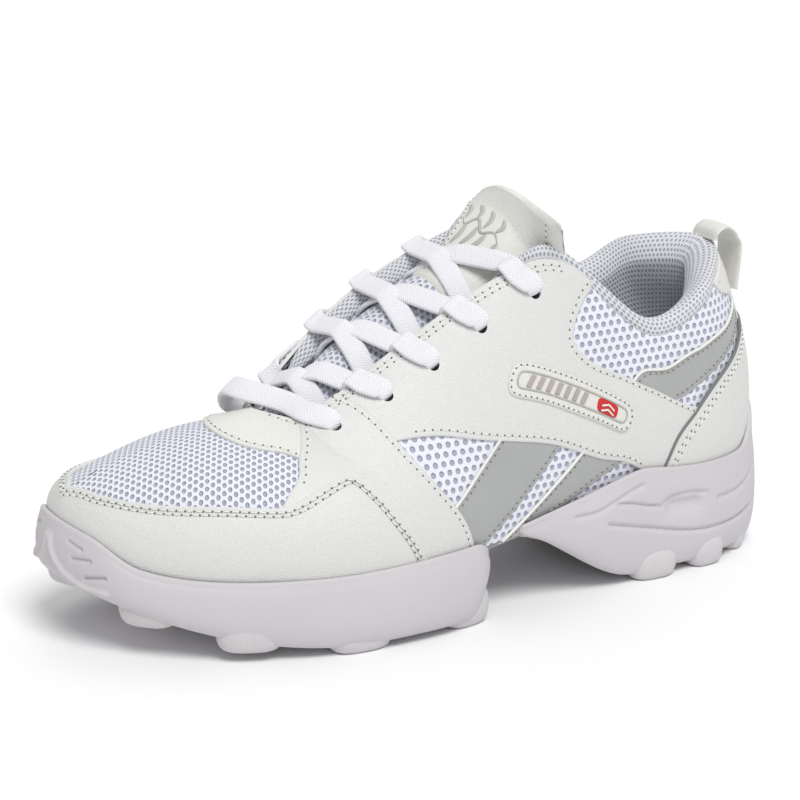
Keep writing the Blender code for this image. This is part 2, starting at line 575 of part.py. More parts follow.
def tongue_row(u):
    tucked = [skin_one(u, t, TONGUE_UNDER) for t in (0.70, 0.80, 0.89)]
    arch = [tongue_arch(u, a) for a in (1.0, 0.72, 0.4, 0.0, -0.4, -0.72, -1.0)]
    return np.array(tucked + arch + [skin_one(-u, t, TONGUE_UNDER) for t in (0.89, 0.80, 0.70)])


def thickened(rows, thickness):
    """Close a stack of rows into one body, its under face one thickness below."""
    rows = np.array(rows)
    along = np.gradient(rows, axis=0)
    across = np.gradient(rows, axis=1)
    normal = unit(np.cross(along, across))
    normal *= np.where(normal @ np.array([-1.0, 0.0, 1.0]) < 0, -1.0, 1.0)[..., None]
    count = rows.shape[1]
    taper = np.ones(count)
    taper[[0, -1]] = 0.35
    under = rows - normal * (thickness * taper)[None, :, None]
    sections = [np.vstack([top, low[::-1]]) for top, low in zip(rows, under)]
    verts = [p for section in sections for p in section]
    return verts, tube_faces(len(rows), 2 * count)


def tongue():
    stations = np.linspace(BASE_START, BASE_END, 13)
    stations[-1] -= FLEX_GAP
    verts, faces = thickened([tongue_row(u) for u in stations], TONGUE_THICK)
    link("tongue_base", verts, faces, MESH_WHITE, 0.8)
    columns = np.linspace(1.0, -1.0, 9)
    step = tongue_arch(BASE_END, 0.0) - tongue_arch(BASE_END - 0.05, 0.0)
    start = np.array([tongue_arch(BASE_END, 0.94 * c) for c in columns]) + unit(step) * 3.0
    inner, apex, outer = np.array(TIP_CORNERS, float) - SHIFT
    f = (1.0 - columns[:, None]) / 2
    end = (1 - f) * (1 - 2 * f) * outer + 4 * f * (1 - f) * apex + f * (2 * f - 1) * inner
    rows = [start * (1 - g) + end * g for g in (0.0, 0.25, 0.5, 0.75, 1.0)]
    verts, faces = thickened(rows, TONGUE_THICK)
    link("tongue_tip", verts, faces, MESH_WHITE, 0.8, TONGUE_HINGE - SHIFT)


LACE_OVER, LACE_UNDER = 2.4, -6.3
LACE_ON_TONGUE = 2.1
LACE_TAIL = [(7.2, 0.76, -6.4), (7.0, 0.69, -6.6), (6.85, 0.62, -7.7)]
AGLET_ROUTE = [(6.83, 0.61, -7.75), (6.72, 0.55, -7.9), (6.60, 0.48, -8.0)]


def eyelet_at(side, level):
    """(u, t) of an eyelet, side +1 outer and -1 inner; half levels lie between two eyelets."""
    us, ts = zip(*EYELETS)
    marks = range(1, len(EYELETS) + 1)
    return side * np.interp(level, marks, us), np.interp(level, marks, ts)


def on_eyestay(side, level, t, offset):
    u, _ = eyelet_at(side, level)
    return skin_one(u, t, offset)


def on_tongue(side, u, across, lift):
    step = 0.02
    here = tongue_arch(u, across * side)
    run = tongue_arch(u, across * side + step) - tongue_arch(u, across * side - step)
    normal = unit(np.array([0.0, -run[2], run[1]]))
    return here + normal * (-1.0 if normal[2] < 0 else 1.0) * (LACE_ON_TONGUE + lift)


def crossing(side, level, lift):
    """Lace from under one throat edge up and over to the other side's eyelet at this level."""
    start, end = abs(eyelet_at(side, level - 0.5)[0]), abs(eyelet_at(side, level)[0])
    path = []
    for across, share in ((0.98, 0.0), (0.7, 0.2), (0.36, 0.7), (0.0, 1.0), (-0.36, 0.8), (-0.66, 0.5)):
        u_here = start + (end - start) * (0.98 - across) / 1.7
        path.append(on_tongue(side, u_here, across, share * lift + (1.0 if across < -0.5 else 0.0)))
    u, t = eyelet_at(-side, level)
    return path + [skin_one(u, 0.999, LACE_OVER + 0.5), skin_one(u, 0.5 + 0.5 * t, LACE_OVER + 0.1)]


def through_eyelet(side, level):
    u, t = eyelet_at(side, level)
    return [skin_one(u, t + 0.008, LACE_OVER - 1.0), skin_one(u, t, -2.0), skin_one(u, t - 0.004, LACE_UNDER + 0.8)]


def lace_half(first_side):
    """From the first eyelet of one side, up through every level, to the end tucked in beside the tongue."""
    route = []
    side = first_side
    for level in range(2, 6):
        route.append(on_eyestay(side, level - 0.6, 0.90, LACE_UNDER))
        route += crossing(side, level, 4.0 if side > 0 else 0.0)
        side = -side
        route += through_eyelet(side, level)
    return route + [skin_one(side * u, t, depth) for u, t, depth in LACE_TAIL]


def halved_spans(points):
    """Add one rounded point in the middle of every long span."""
    pts = np.asarray(points)
    padded = np.vstack([2 * pts[0] - pts[1], pts, 2 * pts[-1] - pts[-2]])
    out = [pts[0]]
    for a, b, c, d in zip(padded, padded[1:], padded[2:], padded[3:]):
        span = np.linalg.norm(c - b)
        near = min(span, np.linalg.norm(b - a), np.linalg.norm(d - c))
        if span > LACE_LONG_SPAN and near > 0.4 * span:
            out.append(0.5 * (b + c) + (b + c - a - d) / 16.0)
        out.append(c)
    return out


LACE_LONG_SPAN = 9.0


def lace():
    start, end = lace_half(1), lace_half(-1)
    u = EYELETS[0][0]
    bar = [skin_one(-u, 0.93, LACE_OVER + 0.2), skin_one(-u, 0.999, LACE_OVER + 0.8),
           on_tongue(1, u, 0.0, 1.5), skin_one(u, 0.999, LACE_OVER + 0.8), skin_one(u, 0.93, LACE_OVER + 0.2)]
    joined = end[::-1] + through_eyelet(-1, 1)[::-1] + bar + through_eyelet(1, 1) + start
    tube("shoelace", halved_spans(joined), LACE_RADIUS, LACE_WHITE, 0.8)
    for name, side in (("aglet_outer", 1), ("aglet_inner", -1)):
        points = [skin_one(side * u, t, depth) for u, t, depth in AGLET_ROUTE]
        tube(name, points, 1.2, (0.8, 0.8, 0.8, 1.0), 0.3)


# ---------------------------------------------------------------- sole
def ground_rise(x):
    """Toe spring: how far the underside has lifted at x."""
    return SPRING_RATE * np.minimum(0.0, x - SPRING_START) ** 2


def underside(x, station, heel):
    if heel:
        ramp = np.clip(1.0 - (x - RAMP_START) / RAMP_LENGTH, 0.0, 1.0)
        return SOLE_UNDERSIDE + 19.0 * ramp ** 1.25
    return SOLE_UNDERSIDE + ground_rise(x) + 9.0 * smooth(station, 5.5, FOREFOOT_END)


WALL = [(1.0, 0.9), (0.86, 0.80), (0.95, 0.62), (1.0, 0.42), (0.80, 0.16), (0.25, 0.0)]


def unit_section(station, heel):
    """Closed section of a sole unit, outer side first, then inner side."""
    halves = []
    if heel:
        bulge = 1.5 + 4.0 * smooth(station, HEEL_START, 7.6)
        rim_t = 0.0
    else:
        bulge = 5.0 - 1.5 * smooth(station, 5.4, FOREFOOT_END)
        rim_t = 0.09 * smooth(station, 4.6, 5.3)
    for side in (1.0, -1.0):
        u = np.array([station * side])
        out = outward(u)[0]
        foot = along_ring(BITE, u)[0]
        rim = skin(u, np.array([rim_t]), np.array([CUP_GAP]))[0]
        low = skin(u, np.array([hem(station) - 0.02]), np.array([CUP_GAP]))[0]
        floor = np.array([low[0], low[1], along_ring(FLOOR, u)[0, 0]])
        base = underside(foot[0], station, heel)
        points = [floor, low, rim, rim + out * 1.6 + np.array([0, 0, -0.3])]
        for swell, height in WALL[1:]:
            z = base + (rim[2] - base) * height
            points.append(np.array([foot[0], foot[1], 0]) + out * bulge * swell + np.array([0, 0, z]))
        halves.append(points)
    outer, inner = halves
    centre = 0.5 * (np.array(outer[0]) + np.array(inner[0]))
    base = np.array([centre[0], centre[1], underside(centre[0], station, heel)])
    floor_points = [centre * 0.5 + 0.5 * np.array(inner[0]), centre, centre * 0.5 + 0.5 * np.array(outer[0])]
    return outer + [base] + inner[::-1] + floor_points


def sole_unit(name, stations, heel, pivot=(0.0, 0.0, 0.0)):
    rings = [unit_section(s, heel) for s in stations]
    count = len(rings[0])
    verts = [p for ring in rings for p in ring]
    return link(name, verts, tube_faces(len(rings), count), SOLE_WHITE, 0.6, pivot)


def lug(name, x, y, length, width, turn, heel=False, height=None, pivot=(0.0, 0.0, 0.0)):
    """A rounded tread block under the sole, its top following the underside."""
    x, y = x - LAST_CENTRE[0], y - LAST_CENTRE[1]
    sides, rings = 14, ((1.0, 1.0), (1.06, 0.55), (0.92, 0.18), (0.66, 0.0))
    rise = 0.0 if heel else float(ground_rise(x))
    c, s = math.cos(turn), math.sin(turn)
    verts = []
    for scale, level in rings:
        for k in range(sides):
            a = 2 * math.pi * k / sides
            shape = (abs(math.cos(a)) ** 3 + abs(math.sin(a)) ** 3) ** (-1 / 3)
            px, py = 0.5 * length * scale * shape * math.cos(a), 0.5 * width * scale * shape * math.sin(a)
            wx, wy = x + c * px - s * py, y + s * px + c * py
            top = SOLE_UNDERSIDE - 0.7 + (0.0 if heel else float(ground_rise(wx)) - 0.3)
            floor = rise * 0.9
            verts.append((wx, wy, floor + (top - floor) * level))
    return link(name, verts, tube_faces(len(rings), sides), SOLE_WHITE, 0.6, pivot)


FOREFOOT_LUGS = {"forefoot_lug_toe": (-118, 16, 13, 24, 0.0),
                 "forefoot_lug_outer_1": (-104, -13, 21, 13, -0.85), "forefoot_lug_outer_2": (-79, -31, 23, 14, -0.5),
                 "forefoot_lug_outer_3": (-45, -40.5, 25, 15, -0.05), "forefoot_lug_outer_4": (-8, -38, 23, 15, 0.3),
                 "forefoot_lug_inner_1": (-104, 38, 22, 13, 0.5), "forefoot_lug_inner_2": (-76, 43, 24, 13, 0.1),
                 "forefoot_lug_inner_3": (-44, 38, 26, 14, -0.15), "forefoot_lug_inner_4": (-11, 31, 24, 14, -0.3),
                 "spin_pad": (-52, -1, 40, 40, 0.0), "forefoot_lug_front": (-88, 13, 20, 22, 0.0)}
HEEL_LUGS = {"heel_lug_outer_1": (79, -28, 21, 14, 0.0), "heel_lug_outer_2": (102, -27, 18, 14, 0.15),
             "heel_lug_outer_3": (122, -17, 17, 13, 0.8),
             "heel_lug_inner_1": (78, 24, 21, 14, 0.0), "heel_lug_inner_2": (101, 24, 18, 14, -0.15),
             "heel_lug_inner_3": (121, 15, 17, 13, -0.9), "heel_lug_centre": (88, -2, 34, 22, 0.0)}


def board(name, inset_mm, low, high, first, last, rows, colour, roughness):
    """A flat piece following the bite line, between two heights above the sole's floor."""
    verts = []
    for station in np.linspace(first, last, rows):
        sides = [skin_one(station * s, 0.0, -inset_mm) for s in (1.0, -1.0)]
        heights = [float(along_ring(FLOOR, np.array([station * s]))[0, 0]) for s in (1.0, -1.0)]
        for level, order in ((low, (0.0, 1 / 3, 2 / 3, 1.0)), (high, (1.0, 2 / 3, 1 / 3, 0.0))):
            for f in order:
                point = sides[0] * (1 - f) + sides[1] * f
                verts.append((point[0], point[1], heights[0] * (1 - f) + heights[1] * f + level))
    return link(name, verts, tube_faces(rows, 8), colour, roughness)


def sole():
    sole_unit("forefoot_midsole", station_steps(0.0, FOREFOOT_END), False)
    sole_unit("heel_midsole", station_steps(HEEL_START, 11.0), True, ARCH_PIVOT)
    for name, (x, y, length, width, turn) in FOREFOOT_LUGS.items():
        lug(name, x, y, length, width, turn)
    for name, (x, y, length, width, turn) in HEEL_LUGS.items():
        lug(name, x, y, length, width, turn, True, pivot=ARCH_PIVOT)
    board("strobel_board", 7.4, 1.0, 2.4, 0.0, 11.0, 34, BOARD_TAN, 0.8)
    board("sockliner", 9.2, 2.8, 6.0, 0.0, 11.0, 34, (0.7, 0.7, 0.72, 1.0), 0.9)
    board("arch_cover", 3.0, -1.6, -0.4, FOREFOOT_END + 0.06, HEEL_START - 0.05, 5, STRIPE_GREY, 0.7)


ARCH_PIVOT = np.array([8.0, 0.0, 32.0])


clear_scene()
PARTS = collection("cheer_shoe")
sole()
vamp()
straps_and_quarters()
stripes()
badge()
heel_parts()
topline_roll()
pull_loop()
tongue()
lace()
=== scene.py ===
"""Looks of the split-sole cheer shoe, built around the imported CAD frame. Sizes are in millimetres.

The upper is one skin over a shoe last. A place on it is (u, t): u is a station, 0 at the toe and 11 at the
heel, positive on the outer side and negative on the inner side; t is 0 at the bite line of the sole and 1 at
the top line. t above 1 crosses the vamp ridge to the other side.
"""

import math

import bpy
import bmesh
import numpy as np
from mathutils import Matrix, Vector
from mathutils.geometry import delaunay_2d_cdt


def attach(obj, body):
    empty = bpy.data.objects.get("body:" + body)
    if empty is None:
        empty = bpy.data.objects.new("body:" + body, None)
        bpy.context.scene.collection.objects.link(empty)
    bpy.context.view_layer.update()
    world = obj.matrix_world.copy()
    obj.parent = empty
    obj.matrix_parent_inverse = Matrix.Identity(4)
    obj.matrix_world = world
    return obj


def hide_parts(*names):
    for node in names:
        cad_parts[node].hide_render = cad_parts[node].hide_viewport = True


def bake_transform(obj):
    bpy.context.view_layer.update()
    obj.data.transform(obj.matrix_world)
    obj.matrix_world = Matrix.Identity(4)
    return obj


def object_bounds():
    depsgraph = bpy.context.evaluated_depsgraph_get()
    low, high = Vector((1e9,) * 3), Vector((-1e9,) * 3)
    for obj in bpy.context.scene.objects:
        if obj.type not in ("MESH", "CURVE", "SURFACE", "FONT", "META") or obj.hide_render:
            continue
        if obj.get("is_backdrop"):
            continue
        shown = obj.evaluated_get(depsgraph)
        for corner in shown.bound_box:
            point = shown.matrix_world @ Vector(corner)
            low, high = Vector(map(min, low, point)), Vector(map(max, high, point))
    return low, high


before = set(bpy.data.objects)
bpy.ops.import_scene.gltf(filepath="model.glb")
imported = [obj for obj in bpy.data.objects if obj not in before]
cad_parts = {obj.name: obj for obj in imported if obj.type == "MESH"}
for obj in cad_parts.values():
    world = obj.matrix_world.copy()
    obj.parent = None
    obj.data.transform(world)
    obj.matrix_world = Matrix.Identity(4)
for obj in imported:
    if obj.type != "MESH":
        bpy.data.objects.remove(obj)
CAD_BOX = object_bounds()

MM = 0.001
LAST_CENTRE = (6.26, -0.63)
STATIONS = 11
THROAT = 4
UP = np.array([0.0, 0.0, 1.0])

BITE_OUTER = [(-127, 14, 38), (-120, -6, 34), (-106, -22, 29), (-84, -36, 27), (-52, -47, 27), (-20, -48, 28),
              (8, -43, 29), (40, -38, 34), (72, -35, 40), (104, -32, 38), (129, -20, 38), (139, 0, 44)]
BITE_INNER = [(-127, 14, 38), (-123, 32, 37), (-108, 43, 32), (-84, 47, 28), (-54, 46, 27), (-22, 40, 28),
              (8, 33, 30), (40, 30, 35), (72, 31, 40), (104, 30, 38), (129, 19, 38), (139, 0, 44)]
TOP_OUTER = [(-118, 14, 56), (-107, 11, 61), (-95, 9, 65), (-80, 6, 69), (-61, 1, 74), (-50, -14, 72),
             (-12, -16, 95), (24, -19, 114), (48, -23, 117), (80, -30, 91), (110, -24, 100), (128, 0, 110)]
TOP_INNER = [(-118, 14, 56), (-107, 11, 61), (-95, 9, 65), (-80, 6, 69), (-61, 1, 74), (-57, 13.5, 72),
             (-16, 21.5, 102), (22, 22.5, 119), (50, 25, 118), (82, 28, 99), (108, 26, 107.5), (128, 0, 110)]
RIB_SWELL = [2, 3, 4, 5, 5, 4, 4, 4, 3, 3, 5, 6]
RIB_RISE = [13, 15, 17, 20, 23, 25, 27, 29, 28, 24, 26, 28]
RIB_REACH = [6, 12, 20, 26, 28, 26, 22, 20, 16, 14, 14, 14]
RIB_FALL = [0, 0, 0, 0, 0.25, 0.5, 0.9, 1.2, 2.0, 3.0, 3.0, 3.0]
FLOOR_HEIGHT = [34, 30, 25.5, 23, 23, 24, 25.5, 29.5, 33, 33.5, 33, 33]
RIDGE_SLOPE, RIDGE_FLATTEN = 0.45, 0.05
TOP_CORNERS = (0, THROAT, -THROAT, THROAT + 1, -THROAT - 1)

# heights of the visible layers above the skin
MESH_TOP = -1.0
FLAP = 1.3                 # thickness of a sewn leather panel

U_SCALE, T_SCALE = 28.0, 75.0
U_STEP, T_STEP = 1.0 / 8.0, 1.0 / 20.0


# ---------------------------------------------------------------- numbers on the skin
def smooth(value, low, high):
    x = np.clip((np.asarray(value, float) - low) / (high - low), 0.0, 1.0)
    return x * x * (3.0 - 2.0 * x)


def unit(vectors):
    return vectors / np.maximum(np.linalg.norm(vectors, axis=-1, keepdims=True), 1e-12)


def length_along(points):
    """Running length at each point of a path."""
    return np.concatenate([[0], np.cumsum(np.linalg.norm(np.diff(points, axis=0), axis=1))])


def full_turn(count):
    """Evenly spaced angles around a circle."""
    return np.linspace(0, 2 * math.pi, count, endpoint=False)


def closed_ring(outer, inner):
    return np.array(list(outer) + list(inner)[STATIONS - 1:0:-1], float)


def cubic(a, b, c, d, f):
    """Catmull-Rom value between b and c at fraction f."""
    second, third = 2 * a - 5 * b + 4 * c - d, 3 * b - a - 3 * c + d
    return 0.5 * (2 * b + (c - a) * f + second * f * f + third * f ** 3)


def smooth_columns(controls, inner):
    """Smooth curves through control points on the second axis."""
    pts = np.asarray(controls, float)
    padded = np.concatenate([2 * pts[:, :1] - pts[:, 1:2], pts, 2 * pts[:, -1:] - pts[:, -2:-1]], 1)
    a, b, c, d = [padded[:, k:len(padded[0]) - 3 + k, None] for k in range(4)]
    fine = cubic(a, b, c, d, np.linspace(0, 1, inner, endpoint=False)[:, None])
    return np.concatenate([fine.reshape(len(pts), -1, pts.shape[-1]), pts[:, -1:]], 1)


def curve_through(points, inner=10):
    """Smooth curve through a list of points of any dimension."""
    return smooth_columns(np.asarray(points, float)[None], inner)[0]


def along_ring(ring, u, corners=()):
    """Curve through a closed ring of stations, with sharp turns at the corners."""
    count = len(ring)
    u = np.asarray(u, float) % count
    i = np.floor(u).astype(int) % count
    f = (u - np.floor(u))[..., None]
    a, b, c, d = ring[(i - 1) % count], ring[i], ring[(i + 1) % count], ring[(i + 2) % count]
    for corner in corners:
        here = (i == corner % count)[..., None]
        after = ((i + 1) % count == corner % count)[..., None]
        a, d = np.where(here, 2 * b - c, a), np.where(after, 2 * c - b, d)
    return cubic(a, b, c, d, f)


SHIFT = np.array([*LAST_CENTRE, 0.0])
BITE = closed_ring(BITE_OUTER, BITE_INNER) - SHIFT
TOP = closed_ring(TOP_OUTER, TOP_INNER) - SHIFT
RIB = closed_ring(*[np.stack([RIB_SWELL, RIB_RISE, RIB_REACH, RIB_FALL], 1)] * 2)
FLOOR = closed_ring(*[[(h,) for h in FLOOR_HEIGHT]] * 2)


def station_of(u):
    return np.minimum(np.asarray(u) % 22.0, 22.0 - np.asarray(u) % 22.0)


def outward(u):
    step = 1e-3
    along = along_ring(BITE, u + step) - along_ring(BITE, u - step)
    flat = np.stack([along[..., 1], -along[..., 0], np.zeros_like(along[..., 0])], -1)
    return unit(flat)


def rib_point(u, t):
    """Bezier rib from the bite line to the top line."""
    t = t[..., None]
    foot = along_ring(BITE, u)
    head = along_ring(TOP, u, TOP_CORNERS)
    normal = outward(u)
    swell, rise, reach, fall = [along_ring(RIB, u)[..., k:k + 1] for k in range(4)]
    station = station_of(u)[..., None]
    slope = RIDGE_SLOPE - RIDGE_FLATTEN * station
    fall = fall - slope * normal[..., :1] * (1.0 - smooth(station, 4.0, 5.0))
    low_handle = foot + normal * swell + UP * rise
    high_handle = head + unit(normal - UP * fall) * reach
    s = 1.0 - t
    return s ** 3 * foot + 3 * s * s * t * low_handle + 3 * s * t * t * high_handle + t ** 3 * head


def place(u, t):
    over = t > 1.0
    return rib_point(np.where(over, -u, u), np.where(over, 2.0 - t, t))


def skin_frame(u, t):
    """Points on the skin and their outward normals."""
    u, t = np.broadcast_arrays(np.asarray(u, float), np.asarray(t, float))
    step = 2e-3
    point = place(u, t)
    near = np.where((np.abs(u) < 0.4) & (np.abs(t - 1.0) < 0.06), np.where(t > 1.0, 1.06, 0.94), t)
    across = place(u + step, near) - place(u - step, near)
    inside = np.where(t > 1.0, 1.0, -1.0) * step
    upward = (place(u, near + inside) - place(u, near)) / inside[..., None] * step
    normal = unit(np.cross(across, upward))
    lean = (normal * outward(np.where(t > 1.0, -u, u))).sum(-1, keepdims=True) + 0.6 * normal[..., 2:]
    return point, normal * np.where(lean < 0, -1.0, 1.0)


def skin(u, t, offset=0.0):
    point, normal = skin_frame(u, t)
    return point + normal * np.asarray(offset, float)[..., None]


def skin_one(u, t, offset=0.0):
    return skin(np.array([u]), np.array([t]), np.array([offset]))[0]


def resample(points, count, measure=None):
    points = np.asarray(points, float)
    measure = points if measure is None else measure
    run = length_along(measure)
    want = np.linspace(0, run[-1], count)
    return np.stack([np.interp(want, run, points[:, k]) for k in range(points.shape[1])], 1)


def trace(points, spacing=2.2):
    """Smooth open curve through (u, t) points, sampled about every spacing mm."""
    fine = curve_through(points, 14) if len(points) > 2 else np.linspace(points[0], points[1], 30)
    scaled = fine * (U_SCALE, T_SCALE)
    length = np.linalg.norm(np.diff(scaled, axis=0), axis=1).sum()
    return resample(fine, max(2, int(round(length / spacing)) + 1), scaled)


def outline(*edges):
    """Join traced edges end to end into one closed loop."""
    loop = []
    for edge in edges:
        for point in edge:
            if not loop or np.hypot(*((np.asarray(point) - loop[-1]) * (U_SCALE, T_SCALE))) > 0.4:
                loop.append(np.asarray(point, float))
    if np.hypot(*((loop[0] - loop[-1]) * (U_SCALE, T_SCALE))) < 0.4:
        loop.pop()
    return np.array(loop)


def mirrored(loop):
    return np.stack([-loop[:, 0], loop[:, 1]], 1)[::-1]


def over_ridge(edge):
    edge = np.asarray(edge, float)
    low = np.minimum(edge[:, 1], np.where(edge[:, 0] > THROAT, 0.998, 1.0))
    return np.vstack([np.stack([edge[:, 0], low], 1), np.stack([edge[:, 0], 2.0 - low], 1)[::-1]])


def around_heel(edge):
    edge = np.asarray(edge, float)
    return np.vstack([edge, np.stack([22.0 - edge[::-1, 0], edge[::-1, 1]], 1)])


def sideways(line, closed):
    """For each point of a line in (u, t), the step in (u, t) that is 1 mm to its left on the skin."""
    step = 2e-3
    if closed:
        ahead, behind = np.roll(line, -1, 0), np.roll(line, 1, 0)
    else:
        ahead = np.vstack([line[1:], 2 * line[-1] - line[-2]])
        behind = np.vstack([2 * line[0] - line[1], line[:-1]])
    base = place(line[:, 0], line[:, 1])
    d_u = (place(line[:, 0] + step, line[:, 1]) - place(line[:, 0] - step, line[:, 1])) / (2 * step)
    away = np.where(line[:, 1] > 1.0, step, -step)
    d_t = (place(line[:, 0], line[:, 1] + away) - base) / away[:, None]
    along_u, along_t = np.linalg.norm(d_u, axis=1), np.linalg.norm(d_t, axis=1)
    size = np.stack([np.maximum(along_u, 8.0), np.maximum(along_t, 12.0)], 1)
    turn = unit((ahead - line) * size) + unit((line - behind) * size)
    left = unit(np.stack([-turn[:, 1], turn[:, 0]], 1))
    return left / size


def inset(loop, distance):
    ahead = np.roll(loop, -1, 0)
    area = np.sum(loop[:, 0] * ahead[:, 1] - ahead[:, 0] * loop[:, 1])
    return loop + sideways(loop, True) * distance * np.sign(area)


def inside_loop(points, loop):
    x, y = points[:, 0], points[:, 1]
    hit = np.zeros(len(points), bool)
    for (x1, y1), (x2, y2) in zip(loop, np.roll(loop, -1, 0)):
        if y1 != y2:
            hit ^= ((y1 > y) != (y2 > y)) & (x < (x2 - x1) * (y - y1) / (y2 - y1) + x1)
    return hit


def distance_to_loop(points, loop):
    best = np.full(len(points), 1e9)
    for a, b in zip(loop, np.roll(loop, -1, 0)):
        run = b - a
        f = np.clip(((points - a) @ run) / max(run @ run, 1e-9), 0, 1)[:, None]
        best = np.minimum(best, np.linalg.norm(points - a - f * run, axis=1))
    return best


def fill(loops, u_step=U_STEP, t_step=T_STEP):
    """Triangles inside the first loop and outside the others, with lattice points between."""
    scaled = [loop * (U_SCALE, T_SCALE) for loop in loops]
    low, high = loops[0].min(0), loops[0].max(0)
    us = np.arange(math.ceil(low[0] / u_step), high[0] / u_step + 1) * u_step
    ts = np.arange(math.ceil(low[1] / t_step), high[1] / t_step + 1) * t_step
    grid = np.stack(np.meshgrid(us, ts, indexing="ij"), -1)
    grid[..., 0] += 0.5 * u_step * (np.round(grid[..., 1] / t_step) % 2)
    grid = grid.reshape(-1, 2) * (U_SCALE, T_SCALE)
    keep = inside_loop(grid, scaled[0])
    grid = grid[keep]
    grid = grid[distance_to_loop(grid, scaled[0]) > 1.2]
    for hole in scaled[1:]:
        grid = grid[~inside_loop(grid, hole)]
        grid = grid[distance_to_loop(grid, hole) > 0.8]
    points, edges = [], []
    for loop in scaled:
        start = len(points)
        points += [Vector(p) for p in loop]
        edges += [(start + k, start + (k + 1) % len(loop)) for k in range(len(loop))]
    points += [Vector(p) for p in grid]
    verts, _, faces, *_ = delaunay_2d_cdt(points, edges, [], 1, 1e-4)
    verts = np.array([tuple(v) for v in verts])
    centres = np.array([verts[list(f)].mean(0) for f in faces])
    good = inside_loop(centres, scaled[0])
    for hole in scaled[1:]:
        good &= ~inside_loop(centres, hole)
    return verts / (U_SCALE, T_SCALE), [tuple(f) for f, ok in zip(faces, good) if ok]


# lengths along the skin, so that patterns keep their size
LENGTH_U = np.linspace(-15.5, 15.5, 621)
LENGTH_RUN = length_along(skin(LENGTH_U, np.full(621, 0.45)))
RIB_T = np.linspace(0, 1, 9)


def rib_length(u):
    ribs = rib_point(np.repeat(np.asarray(u, float)[:, None], 9, 1), np.repeat(RIB_T[None], len(u), 0))
    return np.linalg.norm(np.diff(ribs, axis=1), axis=2).sum(1)


def cloth_map(uv):
    """Pattern coordinates in mm: along the shoe, and up the rib."""
    u, t = uv[:, 0], uv[:, 1]
    along = np.interp(u, LENGTH_U, LENGTH_RUN)
    outer, inner = rib_length(u), rib_length(-u)
    return np.stack([along, np.where(t > 1.0, outer + (t - 1.0) * inner, t * outer)], 1)


# ---------------------------------------------------------------- materials
def add(tree, kind, inputs=None, **settings):
    node = tree.nodes.new(kind)
    for key, value in settings.items():
        setattr(node, key, value)
    for key, value in (inputs or {}).items():
        if isinstance(value, bpy.types.NodeSocket):
            tree.links.new(value, node.inputs[key])
        else:
            node.inputs[key].default_value = value
    return node


def start_material(name, roughness, **sockets):
    mat = bpy.data.materials.new(name)
    mat.use_nodes = True
    tree = mat.node_tree
    shader = tree.nodes["Principled BSDF"]
    shader.inputs["Roughness"].default_value = roughness
    for key, value in sockets.items():
        shader.inputs[key.replace("_", " ")].default_value = value
    return mat, tree, shader


def mix_colour(tree, factor, low, high):
    node = add(tree, "ShaderNodeMix", data_type="RGBA")
    for socket, value in ((node.inputs[0], factor), (node.inputs[6], low), (node.inputs[7], high)):
        if isinstance(value, bpy.types.NodeSocket):
            tree.links.new(value, socket)
        else:
            socket.default_value = value
    return node.outputs[2]


def finish_material(tree, shader, colour, height, distance):
    tree.links.new(colour, shader.inputs["Base Color"])
    bump = add(tree, "ShaderNodeBump", {"Height": height, "Distance": distance * MM, "Strength": 1.0})
    tree.links.new(bump.outputs[0], shader.inputs["Normal"])


def mm_coordinates(tree, by_uv):
    """Pattern coordinates in mm, from the piece's map or from its place."""
    if by_uv:
        return add(tree, "ShaderNodeUVMap").outputs[0]
    place_node = add(tree, "ShaderNodeTexCoord").outputs["Object"]
    return vector_maths(tree, "MULTIPLY", place_node, (1000, 1000, 1000)).outputs[0]


def noise(tree, where, size, detail=2.0, rough=0.5):
    return add(tree, "ShaderNodeTexNoise", {"Vector": where, "Scale": 1.0 / size, "Detail": detail,
                                            "Roughness": rough}).outputs[0]


def maths(tree, operation, a, b=0.0, c=0.0):
    return add(tree, "ShaderNodeMath", {0: a, 1: b, 2: c}, operation=operation).outputs[0]


def vector_maths(tree, operation, a, b=(0, 0, 0)):
    return add(tree, "ShaderNodeVectorMath", {0: a, 1: b}, operation=operation)


def leather_material(name, light, dark, roughness, by_uv=True, grain=0.9, depth=0.15):
    """Coated leather: fine pebbles in shallow creases, a little tone in broad patches, and painted shade
    darkening the creases between the pebbles.
    """
    mat, tree, shader = start_material(name, roughness, Specular_IOR_Level=0.42, Coat_Weight=0.06,
                                       Coat_Roughness=0.35)
    where = mm_coordinates(tree, by_uv)
    pebbles = add(tree, "ShaderNodeTexVoronoi", {"Vector": where, "Scale": 1.0 / grain},
                  feature="DISTANCE_TO_EDGE")
    pebble = maths(tree, "MINIMUM", maths(tree, "MULTIPLY", pebbles.outputs[0], 3.0), 1.0)
    crease = noise(tree, where, 5.0, 4.0, 0.6)
    fine = noise(tree, where, 0.5, 2.0)
    height = maths(tree, "ADD", maths(tree, "MULTIPLY", pebble, 0.5), maths(tree, "MULTIPLY", crease, 1.2))
    height = maths(tree, "ADD", height, maths(tree, "MULTIPLY", fine, 0.35))
    tone = noise(tree, where, 22.0, 3.0)
    colour = mix_colour(tree, maths(tree, "MULTIPLY_ADD", tone, 0.7, 0.15), dark, light)
    # painted shade: the creases between the pebbles are darkened toward a deeper copy of the dark colour
    colour = mix_colour(tree, maths(tree, "MULTIPLY_ADD", pebble, 0.35, 0.65),
                        tuple(0.8 * c for c in dark[:3]) + (1.0,), colour)
    finish_material(tree, shader, colour, height, depth)
    return mat


